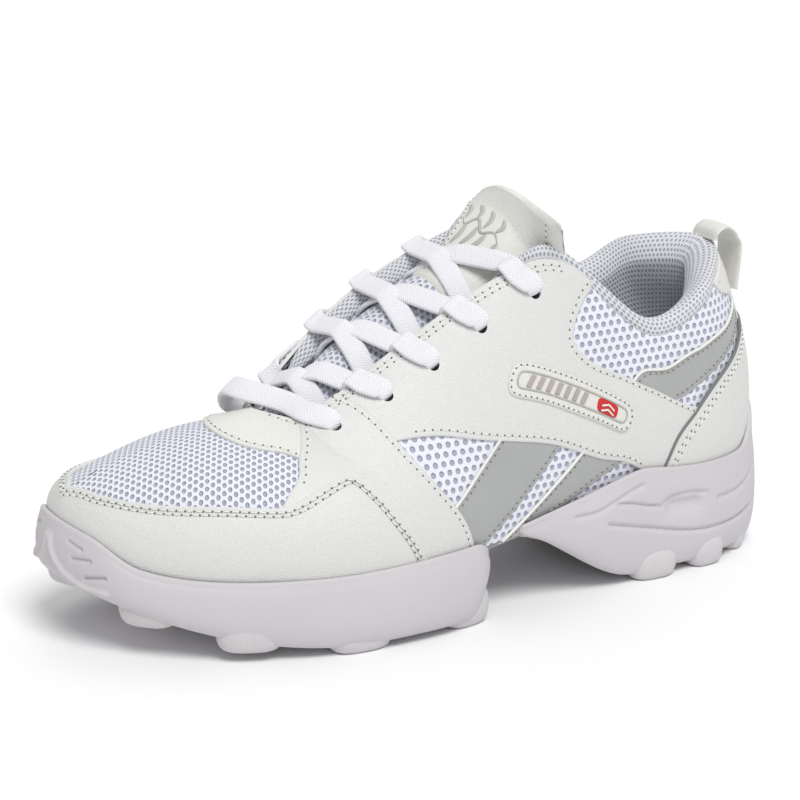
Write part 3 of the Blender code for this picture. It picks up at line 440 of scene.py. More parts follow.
def mesh_material(name, yarn, hole, pitch, radius, depth=0.8):
    """Knitted mesh: round holes in staggered rows through a padded yarn; the hole colour is painted shade of
    the dark space behind the yarn.
    """
    mat, tree, shader = start_material(name, 0.75, Sheen_Weight=0.25, Sheen_Roughness=0.5,
                                       Specular_IOR_Level=0.25)
    where = mm_coordinates(tree, True)
    rows = math.sqrt(3.0)
    cell = vector_maths(tree, "MULTIPLY", where, (1 / pitch, 1 / (pitch * rows), 0)).outputs[0]
    reach = []
    for half in (0.0, 0.5):
        local = vector_maths(tree, "ADD", cell, (half, half, 0)).outputs[0]
        local = vector_maths(tree, "FRACTION", local).outputs[0]
        local = vector_maths(tree, "SUBTRACT", local, (0.5, 0.5, 0)).outputs[0]
        local = vector_maths(tree, "MULTIPLY", local, (1, rows, 0)).outputs[0]
        reach.append(vector_maths(tree, "LENGTH", local).outputs[1])
    nearest = maths(tree, "MINIMUM", *reach)
    cover = add(tree, "ShaderNodeMapRange", {0: nearest, 1: radius * 0.62, 2: radius * 1.35},
                interpolation_type="SMOOTHSTEP").outputs[0]
    thread = noise(tree, where, 0.22, 1.0)
    tone = noise(tree, where, 14.0, 2.0)
    shaded = tuple(0.93 * c for c in yarn[:3]) + (1,)
    lit = mix_colour(tree, maths(tree, "MULTIPLY_ADD", tone, 0.6, 0.2), shaded, yarn)
    # the holes take the hole colour: painted shade inside the holes
    colour = mix_colour(tree, cover, hole, lit)
    height = maths(tree, "ADD", cover, maths(tree, "MULTIPLY", thread, 0.18))
    finish_material(tree, shader, colour, height, depth)
    return mat


def sole_material(name, light, dark, grain, depth, roughness=0.62):
    mat, tree, shader = start_material(name, roughness, Specular_IOR_Level=0.35, Subsurface_Weight=0.05,
                                       Subsurface_Scale=0.004)
    where = mm_coordinates(tree, False)
    broad = noise(tree, where, 30.0, 3.0)
    fine = noise(tree, where, grain, 3.0, 0.6)
    colour = mix_colour(tree, maths(tree, "MULTIPLY_ADD", broad, 0.8, 0.1), dark, light)
    finish_material(tree, shader, colour, fine, depth)
    return mat


def lace_material():
    """Flat braid: two ribs of slanted yarns that meet along the middle, with painted shade in the grooves
    between the yarns.
    """
    mat, tree, shader = start_material("lace_braid", 0.8, Sheen_Weight=0.3, Sheen_Roughness=0.5,
                                       Specular_IOR_Level=0.2)
    where = mm_coordinates(tree, True)
    parts = add(tree, "ShaderNodeSeparateXYZ", {0: where})
    fold = maths(tree, "ABSOLUTE", maths(tree, "SUBTRACT", maths(tree, "FRACT", maths(tree, "MULTIPLY",
                 parts.outputs[1], 0.25)), 0.5))
    slant = maths(tree, "MULTIPLY_ADD", fold, 2.4, maths(tree, "MULTIPLY", parts.outputs[0], 1.0 / 0.95))
    wave = maths(tree, "ABSOLUTE", maths(tree, "SUBTRACT", maths(tree, "FRACT", slant), 0.5))
    across = maths(tree, "ABSOLUTE", maths(tree, "SUBTRACT", maths(tree, "FRACT", maths(tree, "MULTIPLY",
                   parts.outputs[1], 1.0 / 0.9)), 0.5))
    height = maths(tree, "ADD", maths(tree, "MULTIPLY", wave, 1.3), maths(tree, "MULTIPLY", across, 0.5))
    fuzz = noise(tree, where, 0.4, 2.0)
    height = maths(tree, "ADD", height, maths(tree, "MULTIPLY", fuzz, 0.3))
    # painted shade: the colour darkens where the wave is low, in the grooves between the yarns
    colour = mix_colour(tree, maths(tree, "MULTIPLY_ADD", wave, 1.2, 0.35), (0.70, 0.70, 0.75, 1),
                        (0.90, 0.90, 0.93, 1))
    finish_material(tree, shader, colour, height, 0.22)
    return mat


def plain_material(name, colour, roughness, grain=0.8, depth=0.05, vary=0.12):
    mat, tree, shader = start_material(name, roughness, Specular_IOR_Level=0.3)
    where = mm_coordinates(tree, False)
    fine = noise(tree, where, grain, 2.0)
    low = tuple(c * (1 - vary) for c in colour[:3]) + (1.0,)
    shade = mix_colour(tree, noise(tree, where, 6.0, 2.0), low, colour)
    finish_material(tree, shader, shade, fine, depth)
    return mat


WHITE_LEATHER = leather_material("white_leather", (0.765, 0.768, 0.75, 1), (0.715, 0.722, 0.70, 1), 0.48)
CREAM_LEATHER = leather_material("cream_leather", (0.81, 0.805, 0.77, 1), (0.77, 0.765, 0.725, 1), 0.5)
GREY_LEATHER = leather_material("grey_leather", (0.45, 0.455, 0.46, 1), (0.38, 0.385, 0.385, 1), 0.42,
                                grain=0.6, depth=0.05)
EDGE_WHITE = leather_material("edge_white", (0.88, 0.88, 0.84, 1), (0.82, 0.82, 0.78, 1), 0.5, by_uv=False)
# dark cord along the heel counter's front edge: painted shadow of the gap where the counter overlaps the
# quarter
PAINTED_EDGE_SHADOW = leather_material("painted_edge_shadow_leather", (0.22, 0.24, 0.23, 1), (0.15, 0.17, 0.165, 1), 0.5, by_uv=False)
# the second colour of each knit is painted shade inside its holes
VAMP_MESH = mesh_material("vamp_mesh_knit", (0.83, 0.84, 0.93, 1), (0.40, 0.43, 0.54, 1), 2.3, 0.26)
QUARTER_MESH = mesh_material("quarter_mesh_knit", (0.84, 0.85, 0.94, 1), (0.40, 0.42, 0.54, 1), 3.3, 0.25)
TONGUE_MESH = mesh_material("tongue_mesh_knit", (0.80, 0.81, 0.89, 1), (0.42, 0.44, 0.55, 1), 2.6, 0.25)
LINING_KNIT = mesh_material("lining_knit", (0.73, 0.74, 0.78, 1), (0.36, 0.37, 0.42, 1), 1.9, 0.26, 0.3)
SOLE_FOAM = sole_material("sole_foam", (0.605, 0.582, 0.602, 1), (0.56, 0.536, 0.562, 1), 0.5, 0.05)
LUG_RUBBER = sole_material("lug_rubber", (0.655, 0.632, 0.65, 1), (0.59, 0.57, 0.588, 1), 0.7, 0.28, 0.7)
LACE_BRAID = lace_material()
THREAD = plain_material("thread", (0.84, 0.84, 0.80, 1), 0.7, 0.3, 0.05)
GREY_THREAD = plain_material("grey_thread", (0.45, 0.45, 0.40, 1), 0.7, 0.3, 0.05)
# dark dots at the needle holes: painted shade
PAINTED_NEEDLE_SHADE = plain_material("painted_needle_hole_shade", (0.16, 0.15, 0.13, 1), 0.9)
HOLE_DARK = plain_material("hole_dark", (0.012, 0.012, 0.013, 1), 0.9)
BOARD_FELT = plain_material("board_felt", (0.62, 0.60, 0.57, 1), 0.9, 0.5, 0.2, 0.25)
# its second colour is painted shade inside the holes
INSOLE_CLOTH = mesh_material("insole_cloth", (0.72, 0.73, 0.76, 1), (0.55, 0.56, 0.60, 1), 1.3, 0.3, 0.15)
AGLET_PLASTIC = plain_material("aglet_plastic", (0.80, 0.80, 0.82, 1), 0.3)
TAN_YARN = plain_material("tan_yarn", (0.47, 0.42, 0.39, 1), 0.7, 0.3, 0.1)
RED_YARN = plain_material("red_yarn", (0.62, 0.035, 0.03, 1), 0.6, 0.3, 0.1)
SILVER_YARN = plain_material("silver_yarn", (0.50, 0.49, 0.45, 1), 0.5, 0.3, 0.1)


# ---------------------------------------------------------------- making pieces
def piece(name, verts, faces, material, ride="bend", pattern=None, replaces=(), weld=0.004):
    """One visible piece from millimetre points; it rides on a body, or is left unattached in place."""
    mesh = bpy.data.meshes.new(name)
    points = [tuple(p) for p in np.asarray(verts, float) * MM]
    mesh.from_pydata(points, [], [tuple(map(int, f)) for f in faces])
    if pattern is not None:
        layer = mesh.uv_layers.new(name="UVMap")
        corner = np.zeros(len(mesh.loops), int)
        mesh.loops.foreach_get("vertex_index", corner)
        layer.data.foreach_set("uv", np.asarray(pattern, np.float32)[corner].ravel())
    bm = bmesh.new()
    bm.from_mesh(mesh)
    bmesh.ops.remove_doubles(bm, verts=bm.verts, dist=weld * MM)
    bmesh.ops.dissolve_degenerate(bm, edges=bm.edges, dist=0.002 * MM)
    bmesh.ops.recalc_face_normals(bm, faces=bm.faces)
    bm.to_mesh(mesh)
    bm.free()
    mesh.shade_smooth()
    mesh.set_sharp_from_angle(angle=math.radians(55))
    obj = bpy.data.objects.new(name, mesh)
    bpy.context.scene.collection.objects.link(obj)
    mesh.materials.append(material)
    if ride == "bend":
        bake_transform(obj)
    elif ride == "tongue":
        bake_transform(obj)
    else:
        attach(obj, ride)
    if replaces:
        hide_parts(*replaces)
    return obj


def grid_faces(rows, columns, closed_columns=False, closed_rows=False):
    faces = []
    for r in range(rows if closed_rows else rows - 1):
        for c in range(columns if closed_columns else columns - 1):
            a, b = r * columns + c, r * columns + (c + 1) % columns
            e = ((r + 1) % rows) * columns
            faces.append((a, b, e + (c + 1) % columns, e + c))
    return faces


def tube_faces(rings, sides):
    caps = [tuple(range(sides))[::-1], tuple(range((rings - 1) * sides, rings * sides))]
    return caps + grid_faces(rings, sides, closed_columns=True)


EDGE_RINGS = [(0.0, -0.55), (0.10, -0.2), (0.35, -0.03), (0.9, 0.04), (1.5, 0.0), (2.1, 0.05)]


def panel(name, loop, top, material, replaces=(), holes=(), thickness=FLAP, dome=0.0, rings=EDGE_RINGS,
          steps=(U_STEP, T_STEP)):
    """A sewn panel: flat top with rolled edges, following the outline, closed underneath."""
    height = top if callable(top) else (lambda u, t: np.full(len(u), float(top)))
    levels, uvs = [], []
    for distance, drop in rings:
        ring = inset(loop, distance)
        uvs.append(ring)
        levels.append(height(ring[:, 0], ring[:, 1]) + drop)
    uv, faces = fill([uvs[-1], *holes], *steps)
    inner = height(uv[:, 0], uv[:, 1]) + rings[-1][1]
    if dome:
        near = distance_to_loop(uv * (U_SCALE, T_SCALE), loop * (U_SCALE, T_SCALE))
        inner = inner + dome * smooth(near, 1.0, 12.0)
    count = len(loop)
    ring_uv, ring_level = np.vstack(uvs[:-1]), np.concatenate(levels[:-1])
    base = len(ring_uv)
    top_uv, top_level = np.vstack([ring_uv, uv]), np.concatenate([ring_level, inner])
    skin_faces = grid_faces(len(rings) - 1, count, closed_columns=True)
    last = (len(rings) - 2) * count
    skin_faces += [(last + k, last + (k + 1) % count, base + (k + 1) % count, base + k) for k in range(count)]
    skin_faces += [tuple(base + i for i in face) for face in faces]
    total = len(top_uv)
    under_level = height(top_uv[:, 0], top_uv[:, 1]) - thickness
    verts = np.vstack([skin(top_uv[:, 0], top_uv[:, 1], level) for level in (top_level, under_level)])
    walls = [(k, (k + 1) % count, total + (k + 1) % count, total + k) for k in range(count)]
    start = count
    for hole in holes:
        size = len(hole)
        ids = [base + start + k for k in range(size)]
        walls += [(a, b, total + b, total + a) for a, b in zip(ids, ids[1:] + ids[:1])]
        start += size
    all_faces = skin_faces + [tuple(total + i for i in f[::-1]) for f in skin_faces] + walls
    cloth = cloth_map(top_uv)
    return piece(name, verts, all_faces, material, "bend", np.vstack([cloth, cloth]), replaces)


# ---------------------------------------------------------------- shared edges of the panels
def hem(u):
    return -0.04 - 0.06 * smooth(station_of(u), 10.2, 11.0)


def bottom(start, end):
    us = np.linspace(start, end, max(3, int(abs(end - start) / 0.12)))
    return np.stack([us, hem(us)], 1)


def top_edge(start, end, t=1.0):
    us = np.linspace(start, end, max(3, int(abs(end - start) / 0.1)))
    return np.stack([us, np.full(len(us), t)], 1)


MUDGUARD_TOP = trace([(0, 0.62), (0.5, 0.585), (1.0, 0.53), (2.0, 0.49), (3.0, 0.44), (3.45, 0.41),
                      (3.65, 0.405), (3.9, 0.44), (4.2, 0.50), (4.5, 0.545), (4.68, 0.51), (4.72, 0.38),
                      (4.75, 0.24), (4.86, 0.09), (5.0, -0.04)])
STRAP_FRONT = trace([(4.95, 1.0), (4.65, 0.88), (4.15, 0.67), (3.95, 0.55), (3.72, 0.46), (3.5, 0.36)])
STRAP_REAR = trace([(5.33, 1.0), (5.40, 0.88), (5.42, 0.77), (5.40, 0.64), (5.38, 0.50), (5.40, 0.33),
                    (5.47, 0.22), (5.60, 0.08), (5.72, -0.04)])
THROAT_LOWER = trace([(4.3, 0.62), (4.15, 0.67), (3.65, 0.77), (3.35, 0.88), (3.15, 1.0)])
QUARTER_LOWER = trace([(5.30, 0.66), (5.40, 0.64), (5.70, 0.56), (6.12, 0.43), (6.5, 0.34), (7.0, 0.24),
                       (7.5, 0.12), (7.9, 0.05), (8.2, -0.04)])
COUNTER_EDGE = trace([(8.36, -0.04), (8.62, 0.15), (9.08, 0.335), (9.45, 0.44), (9.8, 0.49), (10.2, 0.52),
                      (10.62, 0.53), (11.0, 0.53)])
COLLAR_FRONT = trace([(9.20, 0.32), (9.08, 0.335), (8.62, 0.395), (8.30, 0.405), (7.95, 0.44), (7.73, 0.49),
                      (7.62, 0.57), (7.73, 0.64), (8.00, 0.74), (8.25, 0.88), (8.33, 0.985)])
TAB_SIDE = trace([(10.62, 0.50), (10.55, 0.72), (10.3, 0.84), (10.15, 0.985)])
EYELETS = [(5.15, 0.87), (5.62, 0.83), (6.10, 0.81), (6.62, 0.82), (7.35, 0.83)]
INNER_EYELETS = [(5.08, 0.87), (5.57, 0.83), (5.93, 0.81), (6.40, 0.82), (7.05, 0.83)]
EYELET_RADIUS = 2.05


def circle_on_skin(u, t, radius, count=14):
    turn = full_turn(count)
    step = 1e-3
    d_u = np.linalg.norm(skin_one(u + step, t) - skin_one(u - step, t)) / (2 * step)
    d_t = np.linalg.norm(skin_one(u, t + step) - skin_one(u, t - step)) / (2 * step)
    return np.stack([u + radius / d_u * np.cos(turn), t + radius / d_t * np.sin(turn)], 1)


SIDES = (("outer", lambda loop: loop), ("inner", mirrored))


# ---------------------------------------------------------------- camera, light, floor
def build_stage():
    azimuth, elevation = math.radians(-30), math.radians(16)
    back = Vector((math.sin(azimuth) * math.cos(elevation), -math.cos(azimuth) * math.cos(elevation),
                   math.sin(elevation)))
    right = Vector((math.cos(azimuth), math.sin(azimuth), 0))
    up = back.cross(right)
    camera = bpy.data.objects.new("camera", bpy.data.cameras.new("camera"))
    camera.data.sensor_width = 36.0
    camera.data.lens = 121.5
    camera.data.clip_end = 50.0
    rotation = Matrix((right, up, back)).transposed()
    camera.matrix_world = Matrix.Translation(Vector((-0.46253, -0.78237, 0.32818))) @ rotation.to_4x4()
    bpy.context.scene.collection.objects.link(camera)
    bpy.context.scene.camera = camera
    floor_mesh = bpy.data.meshes.new("floor")
    floor_mesh.from_pydata([(-6, -6, 0), (6, -6, 0), (6, 6, 0), (-6, 6, 0)], [], [(0, 1, 2, 3)])
    floor = bpy.data.objects.new("floor", floor_mesh)
    bpy.context.scene.collection.objects.link(floor)
    floor_mesh.materials.append(plain_material("floor_white", (0.93, 0.93, 0.935, 1), 0.8, 50.0, 0.001, 0.0))
    floor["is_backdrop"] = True
    for name, where, angle, power, colour in (
            ("key", (-0.10, -0.66, 1.05), 30.0, 2.05, (1, 1, 1)),
            ("rim", (0.35, 0.6, 0.9), 50.0, 0.55, (0.98, 0.99, 1.0))):
        lamp = bpy.data.lights.new(name, "SUN")
        lamp.angle = math.radians(angle)
        lamp.energy = power
        lamp.color = colour
        obj = bpy.data.objects.new(name, lamp)
        obj.rotation_euler = Vector(where).to_track_quat("Z", "Y").to_euler()
        bpy.context.scene.collection.objects.link(obj)
    world = bpy.data.worlds.new("studio")
    world.use_nodes = True
    world.node_tree.nodes["Background"].inputs[0].default_value = (1.0, 1.0, 1.0, 1.0)
    world.node_tree.nodes["Background"].inputs[1].default_value = 0.43
    bpy.context.scene.world = world
    bpy.context.scene.view_settings.view_transform = "Standard"


# ---------------------------------------------------------------- upper
def skin_sheet(name, loop, level, thickness, material, replaces=(), pattern=None):
    uv, faces = fill([loop])
    level = level(uv[:, 0], uv[:, 1]) if callable(level) else np.full(len(uv), float(level))
    top, under = skin(uv[:, 0], uv[:, 1], level), skin(uv[:, 0], uv[:, 1], level - thickness)
    total, count = len(uv), len(loop)
    rim = [(k, (k + 1) % count, total + (k + 1) % count, total + k) for k in range(count)]
    cloth = cloth_map(uv) if pattern is None else pattern(top)
    faces = faces + [tuple(total + i for i in f[::-1]) for f in faces] + rim
    verts, cloth = np.vstack([top, under]), np.vstack([cloth, cloth])
    return piece(name, verts, faces, material, "bend", cloth, replaces)


def mouth_slit(edge):
    start = edge[0, 1]
    ts = np.linspace(2.0 - start, start, 17)
    return np.stack([np.zeros(17), ts], 1)


def vamp_parts():
    half = np.vstack([trace([(0, 0.50), (1.0, 0.44), (2.0, 0.40), (3.0, 0.34), (3.6, 0.30), (4.2, 0.36),
                             (4.7, 0.42), (4.8, 0.72), (4.5, 0.90), (4.25, 0.96)]), [(3.95, 0.995)]])
    edge = over_ridge(half)
    flat = lambda points: np.stack([points[:, 0] * 1.06, points[:, 1]], 1)
    skin_sheet("vamp_mesh_skin", outline(edge, mouth_slit(edge)), MESH_TOP, 0.8, VAMP_MESH,
               ["vamp_mesh"], flat)
    front = np.vstack([bottom(0, 4.9), trace([(4.9, -0.04), (4.9, 0.5), (4.6, 0.7), (4.55, 0.93)]),
                       trace([(4.55, 0.93), (4.25, 0.96)]), [(3.95, 0.995)]])
    edge = over_ridge(front)
    skin_sheet("vamp_lining_skin", outline(edge, mouth_slit(edge)), -4.4, 0.6, LINING_KNIT,
               ["vamp_lining"])
    inner_top = np.stack([-MUDGUARD_TOP[:, 0], MUDGUARD_TOP[:, 1]], 1)
    loop = outline(MUDGUARD_TOP[::-1], inner_top, bottom(-5.0, 5.0))
    lift = lambda u, t: 0.35 + 0.35 * smooth(np.abs(u), 3.2, 3.8)
    panel("mudguard_leather", loop, lift, WHITE_LEATHER, ["mudguard"], dome=0.25)
    side = np.vstack([trace([(4.97, 0.998), (4.7, 0.85), (4.3, 0.62)])[:-1], THROAT_LOWER])
    throat_edge = [(4.97, 1.003), (4.75, 1.003), (4.5, 1.003), (4.25, 1.002), (4.02, 1.0), (4.25, 0.998),
                   (4.5, 0.997), (4.75, 0.997), (4.97, 0.997)]
    panel("throat_leather", outline(over_ridge(side), throat_edge), 0.0, CREAM_LEATHER,
          ["throat_piece"], thickness=1.1)


def side_parts():
    strap = outline(STRAP_FRONT, trace([(3.5, 0.36), (3.9, 0.2), (4.6, 0.06), (4.8, -0.04)]),
                    bottom(4.8, 5.72), STRAP_REAR[::-1], top_edge(5.33, 4.95, 0.998))
    quarter = outline(trace([(5.2, 0.998), (5.26, 0.88), (5.28, 0.77), (5.30, 0.66)]), QUARTER_LOWER,
                      bottom(8.2, 8.5), trace([(8.5, -0.06), (8.75, 0.15), (9.20, 0.32)]), COLLAR_FRONT,
                      top_edge(8.33, 5.2, 0.998))
    for side, flip in SIDES:
        marks = EYELETS if side == "outer" else INNER_EYELETS
        first, *rest = [flip(circle_on_skin(u, t, EYELET_RADIUS)) for u, t in marks]
        panel("front_strap_leather_" + side, flip(strap), 0.45, WHITE_LEATHER,
              ["front_strap_" + side], [first], dome=0.1)
        panel("quarter_leather_" + side, flip(quarter), 0.1, WHITE_LEATHER,
              ["quarter_overlay_" + side], rest, dome=0.15)
        mesh = outline(bottom(5.1, 11.0), trace([(11.0, -0.10), (11.0, 0.97)]), top_edge(11.0, 8.2, 0.97),
                       top_edge(8.2, 5.1, 0.94), trace([(5.1, 0.94), (5.1, -0.04)]))
        skin_sheet("quarter_mesh_skin_" + side, flip(mesh), MESH_TOP, 0.8, QUARTER_MESH,
                   ["quarter_mesh_" + side], (lambda points: np.stack([points[:, 0], points[:, 2]], 1)))


def stripe_parts():
    shapes = {"front": [(6.38, 0.40), (7.05, 0.25), (6.4, 0.10), (5.78, -0.05), (5.45, -0.05), (5.47, 0.21)],
              "middle": [(7.34, 0.19), (7.92, 0.07), (7.2, 0.015), (6.6, -0.05), (6.10, -0.05), (6.75, 0.08)],
              "rear": [(8.20, 0.39), (8.60, 0.54), (9.20, 0.70), (9.6, 0.705), (10.05, 0.685), (10.66, 0.68),
                       (10.66, 0.58), (10.0, 0.555), (9.62, 0.53), (9.25, 0.49), (8.75, 0.38)]}
    for name, points in shapes.items():
        loop = outline(*[trace([a, b]) for a, b in zip(points, points[1:] + points[:1])])
        for side, flip in SIDES:
            panel("stripe_%s_leather_%s" % (name, side), flip(loop), -0.45, GREY_LEATHER,
                  ["stripe_%s_%s" % (name, side)], thickness=0.8,
                  rings=[(0.0, -0.35), (0.1, -0.1), (0.35, 0.0), (1.0, 0.0)])


def heel_parts():
    loop = outline(around_heel(COUNTER_EDGE), bottom(22.0 - 8.36, 8.36))
    panel("heel_counter_leather", loop, 0.5, WHITE_LEATHER, ["heel_counter_panel"], dome=0.4)
    side = TAB_SIDE
    loop = outline(side, top_edge(10.15, 11.85, 0.985), np.stack([22.0 - side[::-1, 0], side[::-1, 1]], 1),
                   trace([(11.38, 0.50), (10.62, 0.50)]))
    panel("back_tab_leather", loop, 0.0, CREAM_LEATHER, ["back_tab"], dome=0.5)


# ---------------------------------------------------------------- sole
CUP_GAP = 0.75
SOLE_UNDERSIDE = 3.0
SPRING_START, SPRING_RATE = -55.0, 0.0032
FOREFOOT_END, HEEL_START = 5.95, 6.35
REAR_ROUNDING, NOSE_ROUNDING = 28.0 / 8.0, 33.0 / 5.0    # mm per station over the length of the rounded end
RAMP_START, RAMP_END, RAMP_RISE = 10.0, 64.0, 24.0
WALL = [(0.74, 0.84), (0.90, 0.68), (1.0, 0.48), (1.0, 0.30), (0.88, 0.14), (0.62, 0.03), (0.1, 0.0)]
LIP = [(0.2, 0.35), (0.8, 0.5), (1.4, 0.3), (1.8, -0.3), (1.95, -1.2)]
BITE_U = np.linspace(-11, 11, 881)
BITE_RUN = length_along(along_ring(BITE, BITE_U))

# moulded lines of the sole: (station, mm below the bite line), height in mm, half width in mm
TOE_LINES = [([(0.04, 1.0), (0.08, 4.0), (0.20, 8.0), (0.42, 11.2), (0.78, 12.6), (1.15, 11.6)], 0.9, 0.9),
             ([(0.46, -0.2), (0.70, 0.4)], -0.55, 0.55), ([(0.55, 4.6), (0.87, 2.6)], -0.7, 0.55),
             ([(0.78, 9.2), (1.14, 6.2)], -0.8, 0.55)]
HEEL_LINES = [([(7.10, 5.6), (7.36, 7.2), (7.62, 6.6), (7.84, 5.6), (8.02, 4.6)], -0.65, 0.9),
              ([(7.67, 8.0), (7.84, 9.6), (8.05, 12.0), (8.24, 13.2)], -0.8, 0.7),
              ([(8.28, 13.0), (8.36, 11.2), (8.50, 10.0), (8.70, 9.4), (8.92, 10.2)], -0.5, 0.7),
              ([(8.42, 13.8), (8.74, 13.4)], -1.5, 3.2),
              ([(9.09, 13.2), (9.35, 13.0), (9.62, 12.0), (10.1, 9.0)], -0.7, 0.8),
              ([(7.52, 13.4), (7.74, 16.6), (8.0, 19.6), (8.28, 21.8), (8.6, 23.2), (8.98, 23.6),
                (9.35, 23.4), (9.8, 22.0), (10.4, 19.5), (11.0, 18.5)], -0.8, 0.75)]


def ground_rise(x):
    return SPRING_RATE * np.minimum(0.0, x - SPRING_START) ** 2


def underside(x, station, heel):
    if heel:
        return SOLE_UNDERSIDE + RAMP_RISE * (1.0 - smooth(x, RAMP_START, RAMP_END))
    return SOLE_UNDERSIDE + ground_rise(x) + 9.0 * smooth(station, 5.5, FOREFOOT_END)


def relief(station, drop, lines):
    """Moulded lines of the wall, by their place along the bite line and below it."""
    here = np.stack([np.interp(station, BITE_U, BITE_RUN), drop], -1)
    shape = here.shape[:-1]
    here = here.reshape(-1, 2)
    total = np.zeros(len(here))
    for line, height, width in lines:
        path = np.array([(np.interp(u, BITE_U, BITE_RUN), d) for u, d in line])
        path = curve_through(path, 6) if len(path) > 2 else path
        best = np.full(len(here), 1e9)
        for a, b in zip(path, path[1:]):
            run = b - a
            f = np.clip(((here - a) @ run) / max(run @ run, 1e-9), 0, 1)[:, None]
            best = np.minimum(best, np.linalg.norm(here - a - f * run, axis=1))
        total += 1.5 * height * np.exp(-(best / width) ** 2)
    return total.reshape(shape)


def sole_side(stations, side, heel):
    """One side of a sole unit: rows of points from the cup's floor over the rim and down to the underside."""
    u = stations * side
    out, foot = outward(u), along_ring(BITE, u)
    lift = 9.0 * smooth(stations, 9.75, 10.7) + 0.8 * np.exp(-((stations - 8.06) / 0.25) ** 2) if heel else \
        4.6 * (1.0 - smooth(stations, 0.75, 1.65))
    grid_u, grid_t = np.meshgrid(u, np.linspace(-0.02, 0.5, 40), indexing="ij")
    ribs = skin(grid_u, grid_t, np.full(grid_u.shape, CUP_GAP))
    rim = np.array([[np.interp(foot[k, 2] + lift[k], ribs[k, :, 2], ribs[k, :, axis]) for axis in range(3)]
                    for k in range(len(u))])
    low = skin(u, hem(stations) - 0.02, np.full(len(u), CUP_GAP))
    floor = np.stack([low[:, 0], low[:, 1], along_ring(FLOOR, u)[:, 0]], 1)
    base = underside(foot[:, 0], stations, heel)
    if heel:
        bulge = 1.5 + 4.0 * smooth(stations, HEEL_START, 7.6)
    else:
        bulge = 5.0 - 1.5 * smooth(stations, 5.4, FOREFOOT_END)
    full_lip = 0.35 + 0.65 * smooth(stations, HEEL_START, 7.6)[:, None] if heel else 1.0
    lip = [rim + out * o * full_lip + UP * z for o, z in LIP]
    wall = [lip[-1]]
    for swell, height in WALL:
        z = base + (rim[:, 2] - base) * height
        wall.append(np.stack([foot[:, 0], foot[:, 1], z], 1) + out * (bulge * swell)[:, None])
    middle = along_ring(BITE, u) * 0.5 + along_ring(BITE, -u) * 0.5
    middle[:, 2] = 0.5 * (base + underside(along_ring(BITE, -u)[:, 0], stations, heel))
    last = wall[-1]
    wall += [last + (middle - last) * f for f in (0.35, 0.75)]
    wall = smooth_columns(np.stack(wall, 1), 10 if heel else 6)
    drop = foot[:, None, 2] + 0.4 - wall[..., 2]
    bump = relief(np.repeat(stations[:, None], wall.shape[1], 1), drop, HEEL_LINES if heel else TOE_LINES)
    wall = wall + out[:, None] * bump[..., None]
    rows = np.concatenate([np.stack([floor, low, rim] + lip[:-1], 1), wall], 1)
    return rows, middle


def sole_unit(name, stations, heel, body):
    outer, middle = sole_side(stations, 1.0, heel)
    inner, _ = sole_side(stations, -1.0, heel)
    across = [0.25, 0.5, 0.75]
    floors = np.stack([inner[:, 0] * (1 - f) + outer[:, 0] * f for f in across], 1)
    rings = np.concatenate([outer, middle[:, None], inner[:, ::-1], floors], 1)
    reach = (stations - HEEL_START) * NOSE_ROUNDING if heel else (FOREFOOT_END - stations) * REAR_ROUNDING
    size = np.sqrt(np.clip(1.0 - (1.0 - np.clip(reach, 0.002, 1.0)) ** 2, 0.0, 1.0))[:, None, None]
    centre = 0.5 * (rings.max(1, keepdims=True) + rings.min(1, keepdims=True))
    rings[..., 2:] = centre[..., 2:] + (rings[..., 2:] - centre[..., 2:]) * size
    rings[..., :2] = centre[..., :2] + (rings[..., :2] - centre[..., :2]) * (0.86 + 0.14 * size)
    piece(name + "_moulded", rings.reshape(-1, 3), tube_faces(len(rings), rings.shape[1]), SOLE_FOAM, body,
          None, [name])


def pod(name, x, y, length, width, turn, height, body, ground=0.0, square=0.72):
    """A tread lug: a squared-off dome with a flat worn foot."""
    x, y = x - LAST_CENTRE[0], y - LAST_CENTRE[1]
    long_, lat = np.meshgrid(full_turn(36), np.linspace(-1.45, 1.45, 17))
    power = lambda v: np.sign(v) * np.abs(v) ** square
    px = 0.5 * length * power(np.cos(long_)) * np.abs(np.cos(lat)) ** np.where(lat < 0, 0.28, 0.5)
    py = 0.5 * width * power(np.sin(long_)) * np.abs(np.cos(lat)) ** np.where(lat < 0, 0.24, 0.42)
    pz = 0.5 * height * (1 + np.sin(lat) / math.sin(1.45))
    c, s = math.cos(turn), math.sin(turn)
    verts = np.stack([x + c * px - s * py, y + s * px + c * py, ground + pz], -1).reshape(-1, 3)
    piece(name + "_pod", verts, tube_faces(17, 36), LUG_RUBBER, body, None, [name])


FOREFOOT_PODS = {"forefoot_lug_toe": (-119, 25, 12, 17, 0.35, 9.0),
                 "forefoot_lug_outer_1": (-108.5, -15.5, 21, 13, -0.85, 13.0),
                 "forefoot_lug_outer_2": (-81.5, -34.8, 23, 14, -0.42, 13.0),
                 "forefoot_lug_outer_3": (-46, -44.5, 24, 14, -0.05, 13.0),
                 "forefoot_lug_outer_4": (-4, -41.8, 20, 13, 0.2, 14.5),
                 "forefoot_lug_inner_1": (-107, 41.5, 20, 13, 0.5, 12.5),
                 "forefoot_lug_inner_2": (-77, 46, 22, 13, 0.05, 13.0),
                 "forefoot_lug_inner_3": (-45, 42.5, 23, 13, -0.15, 13.0),
                 "forefoot_lug_inner_4": (-11, 35, 21, 13, -0.25, 14.5)}
HEEL_PODS = {"heel_lug_outer_1": (79.5, -34.2, 20, 13, 0.0), "heel_lug_outer_2": (104, -32.0, 16, 12, 0.15),
             "heel_lug_outer_3": (124, -21.5, 15, 12, 0.75), "heel_lug_inner_1": (80, 29.5, 19, 13, 0.0),
             "heel_lug_inner_2": (104, 29, 16, 12, -0.12), "heel_lug_inner_3": (124, 19.5, 14, 12, -0.8)}


